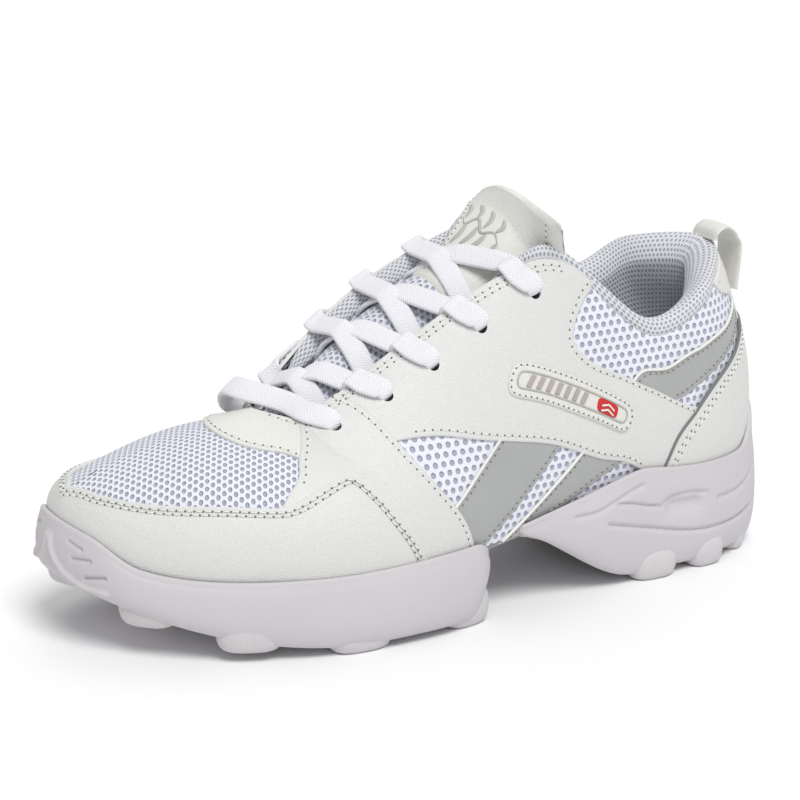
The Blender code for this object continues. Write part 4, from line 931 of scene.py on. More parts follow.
def lathe(name, x, y, profile, material, body, node):
    turn = full_turn(64)
    rings = [(x - LAST_CENTRE[0] + r * np.cos(turn), y - LAST_CENTRE[1] + r * np.sin(turn), np.full(64, z))
             for r, z in profile]
    verts = np.concatenate([np.stack(ring, -1) for ring in rings])
    piece(name, verts, tube_faces(len(profile), 64), material, body, None, [node])


def sole():
    fine_toe = np.concatenate([np.arange(0, 1.4, 0.02), np.arange(1.4, 5.5, 0.06),
                               np.linspace(5.5, FOREFOOT_END, 18)])
    sole_unit("forefoot_midsole", fine_toe, False, "forefoot")
    fine_heel = np.concatenate([np.linspace(HEEL_START, 6.8, 14), np.arange(6.83, 7.05, 0.03),
                                np.arange(7.05, 10.3, 0.02), np.linspace(10.3, 11.0, 22)])
    sole_unit("heel_midsole", fine_heel, True, "heel")
    for name, (x, y, length, width, turn, height) in FOREFOOT_PODS.items():
        rise = 0.95 * float(ground_rise(x - LAST_CENTRE[0]))
        pod(name, x, y, length, width, turn, height, "forefoot", rise)
    for name, (x, y, length, width, turn) in HEEL_PODS.items():
        pod(name, x, y, length, width, turn, 12.0, "heel")
    pod("forefoot_lug_front", -90, 13, 20, 22, 0.0, 8.0, "forefoot", 0.9 * float(ground_rise(-96.3)))
    pod("heel_lug_centre", 88, -2, 34, 22, 0.0, 8.0, "heel")
    rings = [(0.1, 0.6)]
    for k in range(6):
        rings += [(1.0 + 3.0 * k, 0.6), (1.3 + 3.0 * k, 0.0), (2.6 + 3.0 * k, 0.0), (3.0 + 3.0 * k, 0.6)]
    rings += [(19.2, 0.6), (20.0, 1.6), (20.0, 6.0), (0.1, 6.0)]
    lathe("spin_pad_rings", -52, -1, rings, LUG_RUBBER, "forefoot", "spin_pad")


def floor_board(name, inset_mm, low, high, first, last, rows, material, node, edge_rise=0.0):
    """A sheet over the sole's floor, its sides turned up a little."""
    verts, cloth = [], []
    fractions = np.linspace(0, 1, 13)
    for station in np.linspace(first, last, rows):
        sides = [skin_one(station * s, 0.0, -inset_mm) for s in (1.0, -1.0)]
        heights = [float(along_ring(FLOOR, np.array([station * s]))[0, 0]) for s in (1.0, -1.0)]
        for level, order in ((low, fractions), (high, fractions[::-1])):
            for f in order:
                point = sides[0] * (1 - f) + sides[1] * f
                curl = edge_rise * abs(2 * f - 1) ** 3
                verts.append((point[0], point[1], heights[0] * (1 - f) + heights[1] * f + level + curl))
                cloth.append((point[0], point[1]))
    piece(name, verts, tube_faces(rows, 26), material, "bend", np.array(cloth), [node])


def inner_parts():
    floor_board("sockliner_cloth", 9.0, 2.8, 6.2, 0.02, 10.98, 90, INSOLE_CLOTH, "sockliner",
                1.6)
    floor_board("strobel_board_sheet", 7.4, 1.0, 2.4, 0.02, 10.98, 60, BOARD_FELT, "strobel_board")
    floor_board("arch_cover_sheet", 3.0, -1.6, -0.4, FOREFOOT_END - 0.35, HEEL_START + 0.25, 24, GREY_LEATHER,
                "arch_cover")
    for side, flip in SIDES:
        loop = outline(bottom(5.05, 10.95), trace([(10.95, -0.10), (10.95, 0.90)]),
                       top_edge(10.95, 8.2, 0.90), top_edge(8.1, 5.05, 0.95),
                       trace([(5.05, 0.95), (5.05, -0.04)]))
        skin_sheet("quarter_lining_sheet_" + side, flip(loop), -4.4, 0.6, LINING_KNIT,
                   ["quarter_lining_" + side])
    for node in ("toe_puff", "heel_stiffener"):
        set_material(node, BOARD_FELT)
    for node in ("aglet_outer", "aglet_inner"):
        set_material(node, AGLET_PLASTIC)


def set_material(node, material):
    """Give a CAD node that stays visible its material."""
    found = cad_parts[node]
    for obj in found if isinstance(found, (list, tuple)) else [found]:
        obj.data.materials.clear()
        obj.data.materials.append(material)


# ---------------------------------------------------------------- collar
# closed profiles of the padded edge: (t, mm above the skin, mm upward), from the outside over the top
EYESTAY_PROFILE = [(0.90, -2.5, 0), (0.935, -2.3, 0), (0.965, -2.1, 0), (0.985, -1.9, 0.4), (1.0, -1.6, 1.3),
                   (1.0, -2.1, 2.6), (1.0, -3.2, 3.3), (1.0, -4.8, 3.2), (1.0, -6.2, 2.3), (1.0, -7.0, 0.8),
                   (0.97, -7.4, 0), (0.93, -7.5, 0), (0.90, -7.5, 0), (0.86, -7.3, 0), (0.80, -6.9, 0),
                   (0.75, -6.6, 0), (0.72, -6.2, 0), (0.72, -5.4, 0), (0.78, -5.0, 0), (0.84, -4.6, 0),
                   (0.88, -4.0, 0), (0.89, -3.2, 0)]
COLLAR_PROFILE = [(0.90, -2.4, 0), (0.93, -1.0, 0), (0.955, 0.1, 0), (0.985, 0.6, 0.3), (1.0, 0.5, 1.4),
                  (1.0, -0.8, 3.0), (1.0, -3.2, 4.0), (1.0, -6.0, 3.8), (1.0, -8.4, 2.4), (1.0, -9.9, -0.2),
                  (0.95, -10.6, 0), (0.88, -10.8, 0), (0.78, -10.5, 0), (0.66, -9.6, 0), (0.50, -8.2, 0),
                  (0.30, -7.0, 0), (0.10, -6.3, 0), (0.10, -5.5, 0), (0.40, -5.6, 0), (0.68, -6.0, 0),
                  (0.84, -4.8, 0), (0.89, -3.4, 0)]
COLLAR_BEGIN, INNER_BEGIN = 6.75, 5.2
PAD_ROWS = np.array([0, 0, 0, 0, 0, 0, 0.1, 0.3, 0.6, 0.9, 1, 1, 1, 0.8, 0.4, 0, 0, 0, 0, 0, 0, 0])


def collar():
    us = np.concatenate([np.arange(COLLAR_BEGIN, 9.0, 0.06), np.arange(9.0, 13.0, 0.045),
                         np.arange(13.0, 22.0 - INNER_BEGIN, 0.06)])
    station = station_of(us)
    share = smooth(station, 7.9, 8.7)[:, None, None]
    low, high = np.array(EYESTAY_PROFILE)[None], np.array(COLLAR_PROFILE)[None]
    mixed = low * (1 - share) + high * share
    tab = smooth(station, 9.9, 10.3)[:, None]
    outside = np.array([0, -1.9, -1.9, -1.7, -1.4, -0.6] + [0] * 16)
    pad = -3.0 * smooth(station, 9.8, 10.3) + 1.3 * np.exp(-((station - 9.72) / 0.1) ** 2)
    inner_fade = smooth(us, 22.0 - INNER_BEGIN - 0.35, 22.0 - INNER_BEGIN)
    fade = (smooth(us, COLLAR_BEGIN, 7.15) * (1 - inner_fade))[:, None]
    low_roll = 0.55 + 0.45 * smooth(station, 6.3, 7.2)[:, None]
    t = mixed[..., 0]
    offset = mixed[..., 1] + tab * outside + pad[:, None] * PAD_ROWS
    offset = np.where(fade < 1, offset * fade - 4.5 * (1 - fade), offset)
    rise = mixed[..., 2] * fade * low_roll * (1 + 0.75 * np.exp(-((station - 7.75) / 0.5) ** 2))[:, None]
    fine = smooth_columns(np.stack([t, offset, rise], -1), 3)
    columns = fine.shape[1]
    u = np.repeat(us[:, None], columns, 1)
    verts = skin(u, np.minimum(fine[..., 0], 1.0), fine[..., 1])
    verts[..., 2] += fine[..., 2]
    inside = smooth(np.arange(columns), 18, 26)[None, :, None] * smooth(station, 9.2, 9.8)[:, None, None]
    for _ in range(60):
        even = verts.copy()
        even[1:-1] = 0.5 * verts[1:-1] + 0.25 * (verts[:-2] + verts[2:])
        verts = verts * (1 - inside) + even * inside
    around = length_along(verts[len(us) // 4])
    along = np.interp(station, LENGTH_U, LENGTH_RUN)
    along = np.where(us > 11, 2 * along.max() - along, along)
    cloth = np.stack([np.repeat(along[:, None], columns, 1), np.repeat(around[None], len(us), 0)], -1)
    collar_piece = piece("collar_pad", verts.reshape(-1, 3), tube_faces(len(us), columns), LINING_KNIT,
                         "bend", cloth.reshape(-1, 2), ["collar_foam", "topline_roll"])


def band(name, path, sides, half_width, half_thick, material, ride, replaces, widths=None):
    """A flat band with rounded edges, swept along a path; sides are its width directions."""
    path, sides = np.asarray(path), unit(np.asarray(sides))
    tangent = unit(np.gradient(path, axis=0))
    sides = unit(sides - (sides * tangent).sum(1, keepdims=True) * tangent)
    normal = np.cross(tangent, sides)
    turn = full_turn(16)
    flat = lambda v: np.sign(v) * np.abs(v) ** 0.6
    widths = np.ones(len(path)) if widths is None else widths
    x = half_width * widths[:, None] * flat(np.cos(turn))[None]
    y = half_thick * np.repeat(flat(np.sin(turn))[None], len(path), 0)
    verts = path[:, None] + sides[:, None] * x[..., None] + normal[:, None] * y[..., None]
    run = length_along(path)
    cloth = np.stack([np.repeat(run[:, None], 16, 1), x], -1)
    return piece(name, verts.reshape(-1, 3), tube_faces(len(path), 16), material, ride, cloth.reshape(-1, 2),
                 replaces)


def pull_loop():
    steps = [(0.66, 0.9), (0.70, 1.9), (0.76, 3.8), (0.85, 6.2), (0.94, 7.8), (1.0, 7.4)]
    path = [skin_one(11.0, t, off) for t, off in steps]
    top = skin_one(11.0, 1.0, 0.0)
    path += [top + np.array(p) for p in ((5.2, 0, 5.0), (2.0, 0, 7.0), (-1.8, 0, 5.6), (-3.4, 0, 2.5))]
    path = resample(curve_through(path, 12), 60)
    band("pull_loop_band", path, np.repeat([[0.0, 1.0, 0.0]], 60, 0), 7.2, 0.85, CREAM_LEATHER, "heel",
         ["pull_loop"])


# ---------------------------------------------------------------- tongue
TONGUE_UNDER, TONGUE_EDGE = -8.6, 0.97
TONGUE_CREST = [(-66, 60.5), (-60, 65), (-50, 74.5), (-30, 88.5), (-12, 99.0), (6, 109), (24, 119),
                (38, 129.5)]
TONGUE_THICK = 4.5
BASE_START, BASE_END = 4.78, 7.5
TONGUE_FRONT_BOW = 6.0
WING_SWEEP = 0.65          # stations by which the tongue's side edges run back before they come free
TIP_CORNERS = [(43, 24, 132.5), (41.5, 5, 138.5), (43, -26, 130)]
WING_STATION = 6.75        # where the inner side edge comes up over the throat edge
PATCH_FIRST = 27
# a plain sprig on the patch: strokes as (along, across) fractions of it, and their half width in mm
SPRIG = [([(0.34, 0.93), (0.29, 0.82), (0.34, 0.70), (0.29, 0.57), (0.33, 0.44), (0.30, 0.32)], 0.6),
         ([(0.32, 0.87), (0.39, 0.86), (0.45, 0.90)], 1.1), ([(0.30, 0.80), (0.24, 0.80), (0.19, 0.85)], 1.1),
         ([(0.33, 0.72), (0.40, 0.71), (0.46, 0.76)], 1.1), ([(0.31, 0.64), (0.25, 0.65), (0.19, 0.70)], 1.1),
         ([(0.31, 0.58), (0.38, 0.56), (0.45, 0.60)], 1.1), ([(0.30, 0.50), (0.25, 0.51), (0.19, 0.56)], 1.1),
         ([(0.33, 0.44), (0.39, 0.41), (0.45, 0.44)], 1.0), ([(0.31, 0.36), (0.26, 0.35), (0.21, 0.38)], 1.0)]
COLUMNS = np.concatenate([[1.3, 1.15], np.linspace(1.0, -1.0, 21), [-1.15, -1.3]])


def tongue_arch(u, across):
    outer, inner = skin_one(u, TONGUE_EDGE, TONGUE_UNDER), skin_one(-u, TONGUE_EDGE, TONGUE_UNDER)
    point = 0.5 * (1 + across) * outer + 0.5 * (1 - across) * inner
    bow = TONGUE_FRONT_BOW * (1.0 - float(smooth(u, BASE_START, 5.5)))
    xs, zs = zip(*TONGUE_CREST)
    middle = 0.5 * (outer + inner)
    rise = np.interp(middle[0] - bow + LAST_CENTRE[0], xs, zs) - middle[2]
    return point + np.array([-bow, 0, rise]) * (1 - across * across)


def tongue_base_point(u, across):
    u = u + WING_SWEEP * float(smooth(abs(across), 0.7, 1.3)) * float(smooth(u, 6.6, BASE_END))
    if abs(across) > 1.0:
        side = 1.0 if across > 0 else -1.0
        return skin_one(side * u, TONGUE_EDGE - 0.6 * (abs(across) - 1.0), TONGUE_UNDER)
    return tongue_arch(u, across)


def tongue_row(length, columns=COLUMNS):
    """Top face of the tongue: length 0 is its front end, 1 where it leaves the eyestays, 2 its tip."""
    if length <= 1.0:
        u = BASE_START + (BASE_END - BASE_START) * length
        return np.array([tongue_base_point(u, c) for c in columns])
    start = tongue_row(1.0, columns)
    inner, apex, outer = np.array(TIP_CORNERS, float) - SHIFT
    f = ((1.3 - columns) / 2.6)[:, None]
    end = (1 - f) * (1 - 2 * f) * outer + 4 * f * (1 - f) * apex + f * (2 * f - 1) * inner
    g = length - 1.0
    wing = np.maximum(0, np.abs(columns) - 0.4)[:, None] * math.sin(math.pi * min(g, 1.0))
    spread = np.array([0.0, 3.0, 1.0]) * wing
    run = end - start
    return start + run * g + spread


def row_normals(rows):
    along, across = np.gradient(rows, axis=0), np.gradient(rows, axis=1)
    normal = unit(np.cross(along, across))
    return normal * np.where(normal @ np.array([-1.0, 0.0, 1.0]) < 0, -1.0, 1.0)[..., None]


def padded_sheet(name, rows, above, below, material, ride, replaces, round_edge=1.0):
    """Close a grid of rows into a soft sheet with rounded edges on all four sides."""
    rows = np.asarray(rows)
    normal = row_normals(rows)
    n, m = rows.shape[:2]
    i, j = np.meshgrid(np.arange(n), np.arange(m), indexing="ij")
    step_i = np.linalg.norm(np.gradient(rows, axis=0), axis=-1).mean()
    step_j = np.linalg.norm(np.gradient(rows, axis=1), axis=-1).mean()
    edge = np.minimum(np.minimum(i, n - 1 - i) * step_i, np.minimum(j, m - 1 - j) * step_j)
    full = np.sqrt(np.clip(1 - (1 - np.clip(edge / round_edge, 0, 1)) ** 2, 0.0, 1.0))[..., None]
    mid = 0.5 * (above - below)
    top = rows + normal * (mid + (above - mid) * full)
    low = rows + normal * (mid - (mid + below) * full)
    verts = np.concatenate([top.reshape(-1, 3), low.reshape(-1, 3)])
    faces = grid_faces(n, m)
    faces += [tuple(n * m + k for k in f[::-1]) for f in grid_faces(n, m)]
    run_i = length_along(rows[:, m // 2])
    run_j = length_along(rows[n // 2])
    cloth = np.stack([np.repeat(run_i[:, None], m, 1), np.repeat(run_j[None], n, 0)], -1).reshape(-1, 2)
    return piece(name, verts, faces, material, ride, np.concatenate([cloth, cloth]), replaces)


def tongue():
    lengths = np.concatenate([np.linspace(0, 1, 40), np.linspace(1, 2, 22)[1:]])
    rows = np.array([tongue_row(g) for g in lengths])
    rows = lift_inner_wing(rows, 28)
    # soften the crease where the arch turns into the free tip
    for _ in range(10):
        rows[1:-1] = 0.5 * rows[1:-1] + 0.25 * (rows[:-2] + rows[2:])
    front = [rows[0] + np.array([-3.0, 0.0, -1.3]) * k for k in (3, 2, 1)]
    rows = np.concatenate([front, rows])
    body = padded_sheet("tongue_pad", rows[:-2], 0.0, TONGUE_THICK, TONGUE_MESH, "tongue",
                        ["tongue_base", "tongue_tip"], 3.0)
    patch = patch_rows(rows[PATCH_FIRST:])
    padded_sheet("tongue_patch", patch, 1.0, 2.6, CREAM_LEATHER, "tongue", [], 1.2)
    top, normal = patch + row_normals(patch) * 1.0, row_normals(patch)
    border = Seams()
    frame_line = [(0.95, 0.09), (0.4, 0.09), (0.08, 0.12), (0.065, 0.3), (0.065, 0.7), (0.08, 0.88),
                  (0.4, 0.93), (0.9, 0.94)]
    border.run(on_grid(top, normal, curve_through(frame_line, 16)), pitch=2.6)
    border.make("tongue_patch_seam", THREAD, PAINTED_NEEDLE_SHADE, "white_leather", "tongue")
    strokes = [stroke(on_grid(top, normal, curve_through(line, 10)), radius) for line, radius in SPRIG]
    verts, faces = join_blocks(strokes)
    piece("tongue_patch_motif", verts, faces, SILVER_YARN, "tongue", None, [])


def lift_inner_wing(rows, first):
    """The tongue's inner edge comes up over the throat edge and runs straight to the tip."""
    start = skin_one(-WING_STATION, 1.0, -3.0) + UP * 2.4
    middle = rows[:, len(COLUMNS) // 2].copy()
    corner, crest = rows[-1, -1].copy(), np.linalg.norm(middle - middle[first], axis=1)
    share = np.clip(-COLUMNS / 1.3, 0.0, 1.0)[:, None]
    for i in range(first, len(rows) - 1):
        edge = start + (corner - start) * crest[i] / crest[-1]
        inner = middle[i] + (edge - middle[i]) * share + UP * (2.0 * 4 * share * (1 - share))
        fade = float(smooth(i, first - 1, first + 6)) * (share > 0)
        rows[i] = rows[i] * (1 - fade) + inner * fade
    for _ in range(4):
        rows[first:, 1:-1] = 0.5 * rows[first:, 1:-1] + 0.25 * (rows[first:, :-2] + rows[first:, 2:])
    return rows


def patch_rows(part):
    """The leather patch on the tongue: narrow at its front end, as wide as the tongue at the tip."""
    along = np.linspace(0, 1, len(part))
    inner = -0.62 - 0.74 * smooth(along, 0.0, 0.6)
    outer = 1.0 + 0.34 * smooth(along, 0.0, 0.5)
    result = []
    for row, low, high in zip(part, inner, outer):
        wide = np.vstack([row[:1] + (row[0] - row[1]) * 0.35, row, row[-1:] + (row[-1] - row[-2]) * 0.35])
        marks = np.concatenate([[-1.36], -COLUMNS, [1.36]])
        want = np.linspace(-high, -low, 27)
        result.append(np.stack([np.interp(want, marks, wide[:, k]) for k in range(3)], 1))
    result = np.array(result)
    result[-1] += unit(result[-1] - result[-2]) * 0.6
    return result


def on_grid(points, normals, where):
    """Points and normals of a grid at fractions (along, across) of its size."""
    n, m = points.shape[:2]
    both = np.concatenate([points, normals], 2)
    a, b = np.clip(where[:, 0], 0, 1) * (n - 1), np.clip(where[:, 1], 0, 1) * (m - 1)
    i, j = np.minimum(a.astype(int), n - 2), np.minimum(b.astype(int), m - 2)
    f, g = (a - i)[:, None], (b - j)[:, None]
    return both[i, j] * (1 - f) * (1 - g) + both[i + 1, j] * f * (1 - g) + both[i, j + 1] * (1 - f) * g \
        + both[i + 1, j + 1] * f * g


def stroke(data, radius):
    """A satin-stitched stroke, thick in the middle and pointed at its ends."""
    path, normal = data[:, :3], unit(data[:, 3:])
    side = unit(np.cross(unit(np.gradient(path, axis=0)), normal))
    width = radius * np.maximum(0.12, np.sin(np.linspace(0, math.pi, len(path))) ** 0.7)[:, None, None]
    turn = full_turn(8)[None, :, None]
    verts = path[:, None] + width * np.cos(turn) * side[:, None] \
        + (0.05 + np.minimum(width, 0.5) * np.sin(turn)) * normal[:, None]
    return verts.reshape(-1, 3), tube_faces(len(path), 8)


# ---------------------------------------------------------------- lace
LACE_OVER, LACE_UNDER = 1.55, -6.3
LACE_WIDTH, LACE_THICK, LACE_CLEAR = 8.4, 2.0, 1.35
CROSS_LIFT = 2.1            # a strap from the outer side rides over the one it crosses
EDGE_DRIFT = 0.03          # stations by which a strap runs heelward while it turns over a throat edge
# the lowest strap where it wraps over the inner corner of the throat, in mm from the corner
BAR_WRAP = [(-2.5, 8.5, -1.0), (-4.5, 6.5, 4.0), (-5.0, 2.5, 6.4), (-4.0, -3.5, 6.6)]
BAR_EDGE = (0.80, 0.12, 0.60)
LACE_TAIL = [(7.2, 0.76, -6.4), (7.0, 0.69, -6.6), (6.85, 0.62, -7.7)]


def eyelet_at(side, level):
    us, ts = zip(*(EYELETS if side > 0 else INNER_EYELETS))
    marks = range(1, len(EYELETS) + 1)
    return side * np.interp(level, marks, us), np.interp(level, marks, ts)


def station_at(level):
    """Place along the throat edges, counted in outer eyelets."""
    return float(np.interp(level, range(1, len(EYELETS) + 1), [u for u, _ in EYELETS]))


def heelward(u, t):
    """Direction along the skin toward the heel."""
    run = skin_one(u + 0.02, t) - skin_one(u - 0.02, t)
    return unit(run * (1.0 if run[0] > 0 else -1.0))


def held(u, t, offset, width=1.0):
    """A lace point held against the skin: place, its edge's direction and share of the full width."""
    point, normal = skin_frame(np.array([u]), np.array([t]))
    return point[0] + normal[0] * offset, heelward(u, min(t, 0.98)), width


def roll_height(side, u):
    """How far the padded roll stands above a throat edge."""
    begin, full = (COLLAR_BEGIN, 7.15) if side > 0 else (INNER_BEGIN, INNER_BEGIN + 0.35)
    return 3.3 * (0.55 + 0.45 * float(smooth(u, 6.3, 7.2))) * float(smooth(u, begin, full))


def over_edge(side, u):
    """Lace points over a throat edge, from the tongue's side outward."""
    roll = roll_height(side, u)
    points = []
    for station, out, rise in ((u, -3.0, max(1.6, roll + 1.45)), (u + EDGE_DRIFT, 0.6, 1.2 + 0.35 * roll)):
        point, normal = skin_frame(np.array([side * station]), np.array([0.999]))
        points.append((point[0] + normal[0] * out + UP * rise, heelward(side * station, 0.98), 1.0))
    return points


def taut(start, end, low_u, high_u, side, lift):
    """A strap pulled tight over the tongue between two edges: straight wherever it does not touch."""
    steps = np.linspace(0.0, 1.0, 15)
    lines = np.array([start + (end - start) * f for f in steps])
    across = side * (1 - 2 * steps)
    tongue_top = np.array([tongue_arch(low_u + (high_u - low_u) * f, a)[2] for f, a in zip(steps, across)])
    height = np.maximum(lines[:, 2], tongue_top + LACE_CLEAR + lift * np.exp(-((steps - 0.6) / 0.16) ** 2))
    height[0], height[-1] = start[2], end[2]
    touch = [0]
    while touch[-1] < len(steps) - 1:
        k = touch[-1]
        touch.append(k + 1 + int(np.argmax((height[k + 1:] - height[k]) / (steps[k + 1:] - steps[k]))))
    lines[:, 2] = np.interp(steps, steps[touch], height[touch])
    along = unit(tongue_arch(high_u + 0.1, 0.0) - tongue_arch(high_u - 0.1, 0.0))
    return [(point, along, 1.0) for point in lines[1:-1]]


def crossing(side, level):
    """Lace from under one throat edge, over the tongue and the other edge, to the next eyelet."""
    low_u, high_u = station_at(level - 1.0), station_at(level - (0.85 if side > 0 else 0.35))
    under = LACE_UNDER if side > 0 else LACE_UNDER - 1.6
    first = held(side * low_u, 0.985, under)
    edge = over_edge(-side, high_u)
    u, t = eyelet_at(-side, level)
    start = -side * (high_u + EDGE_DRIFT)
    flank = [held(start + (u - start) * f, 0.999 + (t + 0.034 - 0.999) * f, LACE_OVER) for f in (0.38, 0.7)]
    strap = taut(first[0], edge[0][0], low_u, high_u, side, CROSS_LIFT if side > 0 else 0.0)
    return [held(side * low_u, 0.93, under), first, *strap, *edge, *flank]


def through_eyelet(side, level):
    u, t = eyelet_at(side, level)
    return [held(u, t + 0.034, LACE_OVER - 0.1, 0.9), held(u, t + 0.010, LACE_OVER - 0.9, 0.7),
            held(u, t + 0.004, -1.6, 0.5), held(u, t + 0.004, LACE_UNDER + 1.0, 0.5)]


def lace_half(first_side):
    route, side = [], first_side
    for level in range(2, 6):
        u, t = eyelet_at(side, level - 1.0)
        route.append(held(u, t + 0.03, LACE_UNDER, 0.75))
        route += crossing(side, level)
        side = -side
        route += through_eyelet(side, level)
    return route + [held(side * u, t, depth, 0.7) for u, t, depth in LACE_TAIL]


def lace():
    corner, edge = skin_one(-5.0, 1.0), unit(np.array(BAR_EDGE))
    across = tongue_arch(5.02, 0.25) + np.array([0.0, -1.0, 4.4])
    bar = [held(-5.05, 0.92, LACE_OVER + 0.2), *[(corner + np.array(p), edge, 1.0) for p in BAR_WRAP],
           (across, edge, 1.0), *over_edge(1, 5.015)[1:], held(5.11, 0.955, LACE_OVER)]
    route = lace_half(-1)[::-1] + through_eyelet(-1, 1)[::-1] + bar + through_eyelet(1, 1) + lace_half(1)
    data = np.array([[*p, *n, w] for p, n, w in route])
    fine = rounded_path(data, 14)
    fine = resample(fine, int(len(route) * 9), fine[:, :3])
    path, sides, width = fine[:, :3], unit(fine[:, 3:6]), fine[:, 6]
    for _ in range(10):
        path[1:-1] = 0.5 * path[1:-1] + 0.25 * (path[:-2] + path[2:])
    tangent = unit(np.gradient(path, axis=0))
    sides = unit(sides - (sides * tangent).sum(1, keepdims=True) * tangent)
    for _ in range(30):
        sides[1:-1] = unit(sides[1:-1] * 2 + sides[:-2] + sides[2:])
    band("shoelace_braid", path, sides, 0.5 * LACE_WIDTH, 0.5 * LACE_THICK, LACE_BRAID, "forefoot",
         ["shoelace"], width)
    for name, side, marks in (("outer", 1.0, EYELETS), ("inner", -1.0, INNER_EYELETS)):
        verts, faces = join_blocks([eyelet_shade(side * u, t) for u, t in marks])
        piece("eyelet_shade_" + name, verts, faces, HOLE_DARK, "forefoot", None, [])


def rounded_path(data, inner):
    """Centripetal Catmull-Rom through the lace's points, so that short and long runs both stay calm."""
    padded = np.vstack([2 * data[0] - data[1], data, 2 * data[-1] - data[-2]])
    result = []
    for a, b, c, d in zip(padded, padded[1:], padded[2:], padded[3:]):
        gaps = [max(1e-3, np.linalg.norm((q - p)[:3]) ** 0.5) for p, q in ((a, b), (b, c), (c, d))]
        t1, t2, t3 = gaps[0], gaps[0] + gaps[1], sum(gaps)
        for t in np.linspace(t1, t2, inner, endpoint=False):
            ab = a * (t1 - t) / t1 + b * t / t1
            bc = b * (t2 - t) / gaps[1] + c * (t - t1) / gaps[1]
            cd = c * (t3 - t) / gaps[2] + d * (t - t2) / gaps[2]
            abc = ab * (t2 - t) / t2 + bc * t / t2
            bcd = bc * (t3 - t) / (t3 - t1) + cd * (t - t1) / (t3 - t1)
            result.append(abc * (t2 - t) / gaps[1] + bcd * (t - t1) / gaps[1])
    return np.vstack(result + [data[-1:]])


def eyelet_shade(u, t):
    """The dark inside of a punched eyelet."""
    ring = circle_on_skin(u, t, EYELET_RADIUS + 0.02, 16)
    if u < 0:
        ring = ring[::-1]
    verts = [skin(ring[:, 0], ring[:, 1], np.full(16, level)) for level in (-1.9, -0.75)]
    return np.vstack(verts), tube_faces(2, 16)


# ---------------------------------------------------------------- badge
BADGE_START, BADGE_END, BADGE_HALF = (6.78, 0.54), (7.85, 0.265), 0.066
BADGE_SCALE = np.array([32.0, 90.0])      # mm per station and per rib, where the badge sits


def badge_axes():
    """The badge's ends, and the steps in (u, t) of 1 mm along and across it."""
    start, end = np.array(BADGE_START), np.array(BADGE_END)
    run = unit((end - start) * BADGE_SCALE) / BADGE_SCALE
    side = unit(np.array([-run[1] * BADGE_SCALE[1], run[0] * BADGE_SCALE[0]])) / BADGE_SCALE
    return start, end, run, side


def badge_loop(shrink=0.0):
    turn = np.linspace(0, math.pi, 9)
    start, end, run, side = badge_axes()
    radius = BADGE_HALF * BADGE_SCALE[1] - shrink
    square = lambda c: np.sign(c) * abs(c) ** 0.75
    corner = lambda a: radius * (square(math.cos(a)) * run + square(math.sin(a)) * side)
    cap_end = [end + corner(a - math.pi / 2) for a in turn]
    cap_start = [start + corner(a + math.pi / 2) for a in turn]
    return outline(cap_end, trace([cap_end[-1], cap_start[0]]), cap_start, trace([cap_start[-1], cap_end[0]]))


def badge_point(along, across):
    """(u, t) on the badge: along 0 to 1 between its ends, across in mm toward the top."""
    start, end, _, side = badge_axes()
    return start + (end - start) * along + side * across


def on_badge(along, across, level):
    return skin_one(*badge_point(along, across), level)


def raised_bar(corners, level, height):
    """Closed low block over four badge corners, its top slightly inside its foot."""
    centre = np.mean(corners, 0)
    low = [on_badge(a, b, level - 0.4) for a, b in corners]
    high = [on_badge(centre[0] + (a - centre[0]) * 0.9, centre[1] + (b - centre[1]) * 0.9, level + height)
            for a, b in corners]
    count = len(corners)
    return low + high, [tuple(range(count))[::-1], tuple(range(count, 2 * count))] + \
        [(k, (k + 1) % count, count + (k + 1) % count, count + k) for k in range(count)]


def join_blocks(blocks):
    verts, faces = [], []
    for block_verts, block_faces in blocks:
        base = len(verts)
        verts += list(block_verts)
        faces += [tuple(base + i for i in f) for f in block_faces]
    return verts, faces


def badge():
    top = 1.2
    panel("side_badge_patch", badge_loop(), top, CREAM_LEATHER, ["side_badge"], thickness=1.5,
          rings=[(0.0, -1.1), (0.05, -0.5), (0.3, -0.08), (0.8, 0.0)], steps=(1 / 24, 1 / 60))
    line = badge_loop(3.1)
    line = np.vstack([line, line[:1]])
    skin_tube("side_badge_frame", line, top + 0.05, 0.35, SILVER_YARN, closed=True)
    bars = []
    lean, width = 0.018, 0.045
    for k in range(7):
        a = 0.03 + k * 0.092
        corners = [(a - lean, -2.2), (a + width - lean, -2.2), (a + width + lean, 2.2), (a + lean, 2.2)]
        bars.append(raised_bar(corners, top, 0.55))
    verts, faces = join_blocks(bars)
    piece("side_badge_bars", verts, faces, TAN_YARN, "bend", None, [])
    turn = full_turn(20)
    disc = [(0.86 + 0.115 * np.sign(math.cos(a)) * abs(math.cos(a)) ** 0.5,
             2.7 * np.sign(math.sin(a)) * abs(math.sin(a)) ** 0.5) for a in turn]
    verts, faces = raised_bar(disc, top, 0.4)
    piece("side_badge_accent", verts, faces, RED_YARN, "bend", None, [])
    chevron = [(0.79, 0.0), (0.86, 1.3), (0.93, 0.0), (0.93, 0.7), (0.86, 2.0), (0.79, 0.7)]
    chevrons = [raised_bar([(a, b + y) for a, b in chevron], top + 0.3, 0.35) for y in (-2.2, -0.4)]
    verts, faces = join_blocks(chevrons)
    piece("side_badge_chevrons", verts, faces, THREAD, "bend", None, [])


# ---------------------------------------------------------------- seams
STITCH_PITCH, THREAD_RADIUS, HOLE_RADIUS = 3.0, 0.27, 0.36
TUBE_SIDES = 8


def fine_line(line, level):
    """Evenly fine points of a (u, t) line on the skin, with directions."""
    uv = curve_through(line, 4)
    level = level(uv[:, 0], uv[:, 1]) if callable(level) else np.full(len(uv), float(level))
    point, normal = skin_frame(uv[:, 0], uv[:, 1])
    return np.hstack([point + normal * level[:, None], normal])


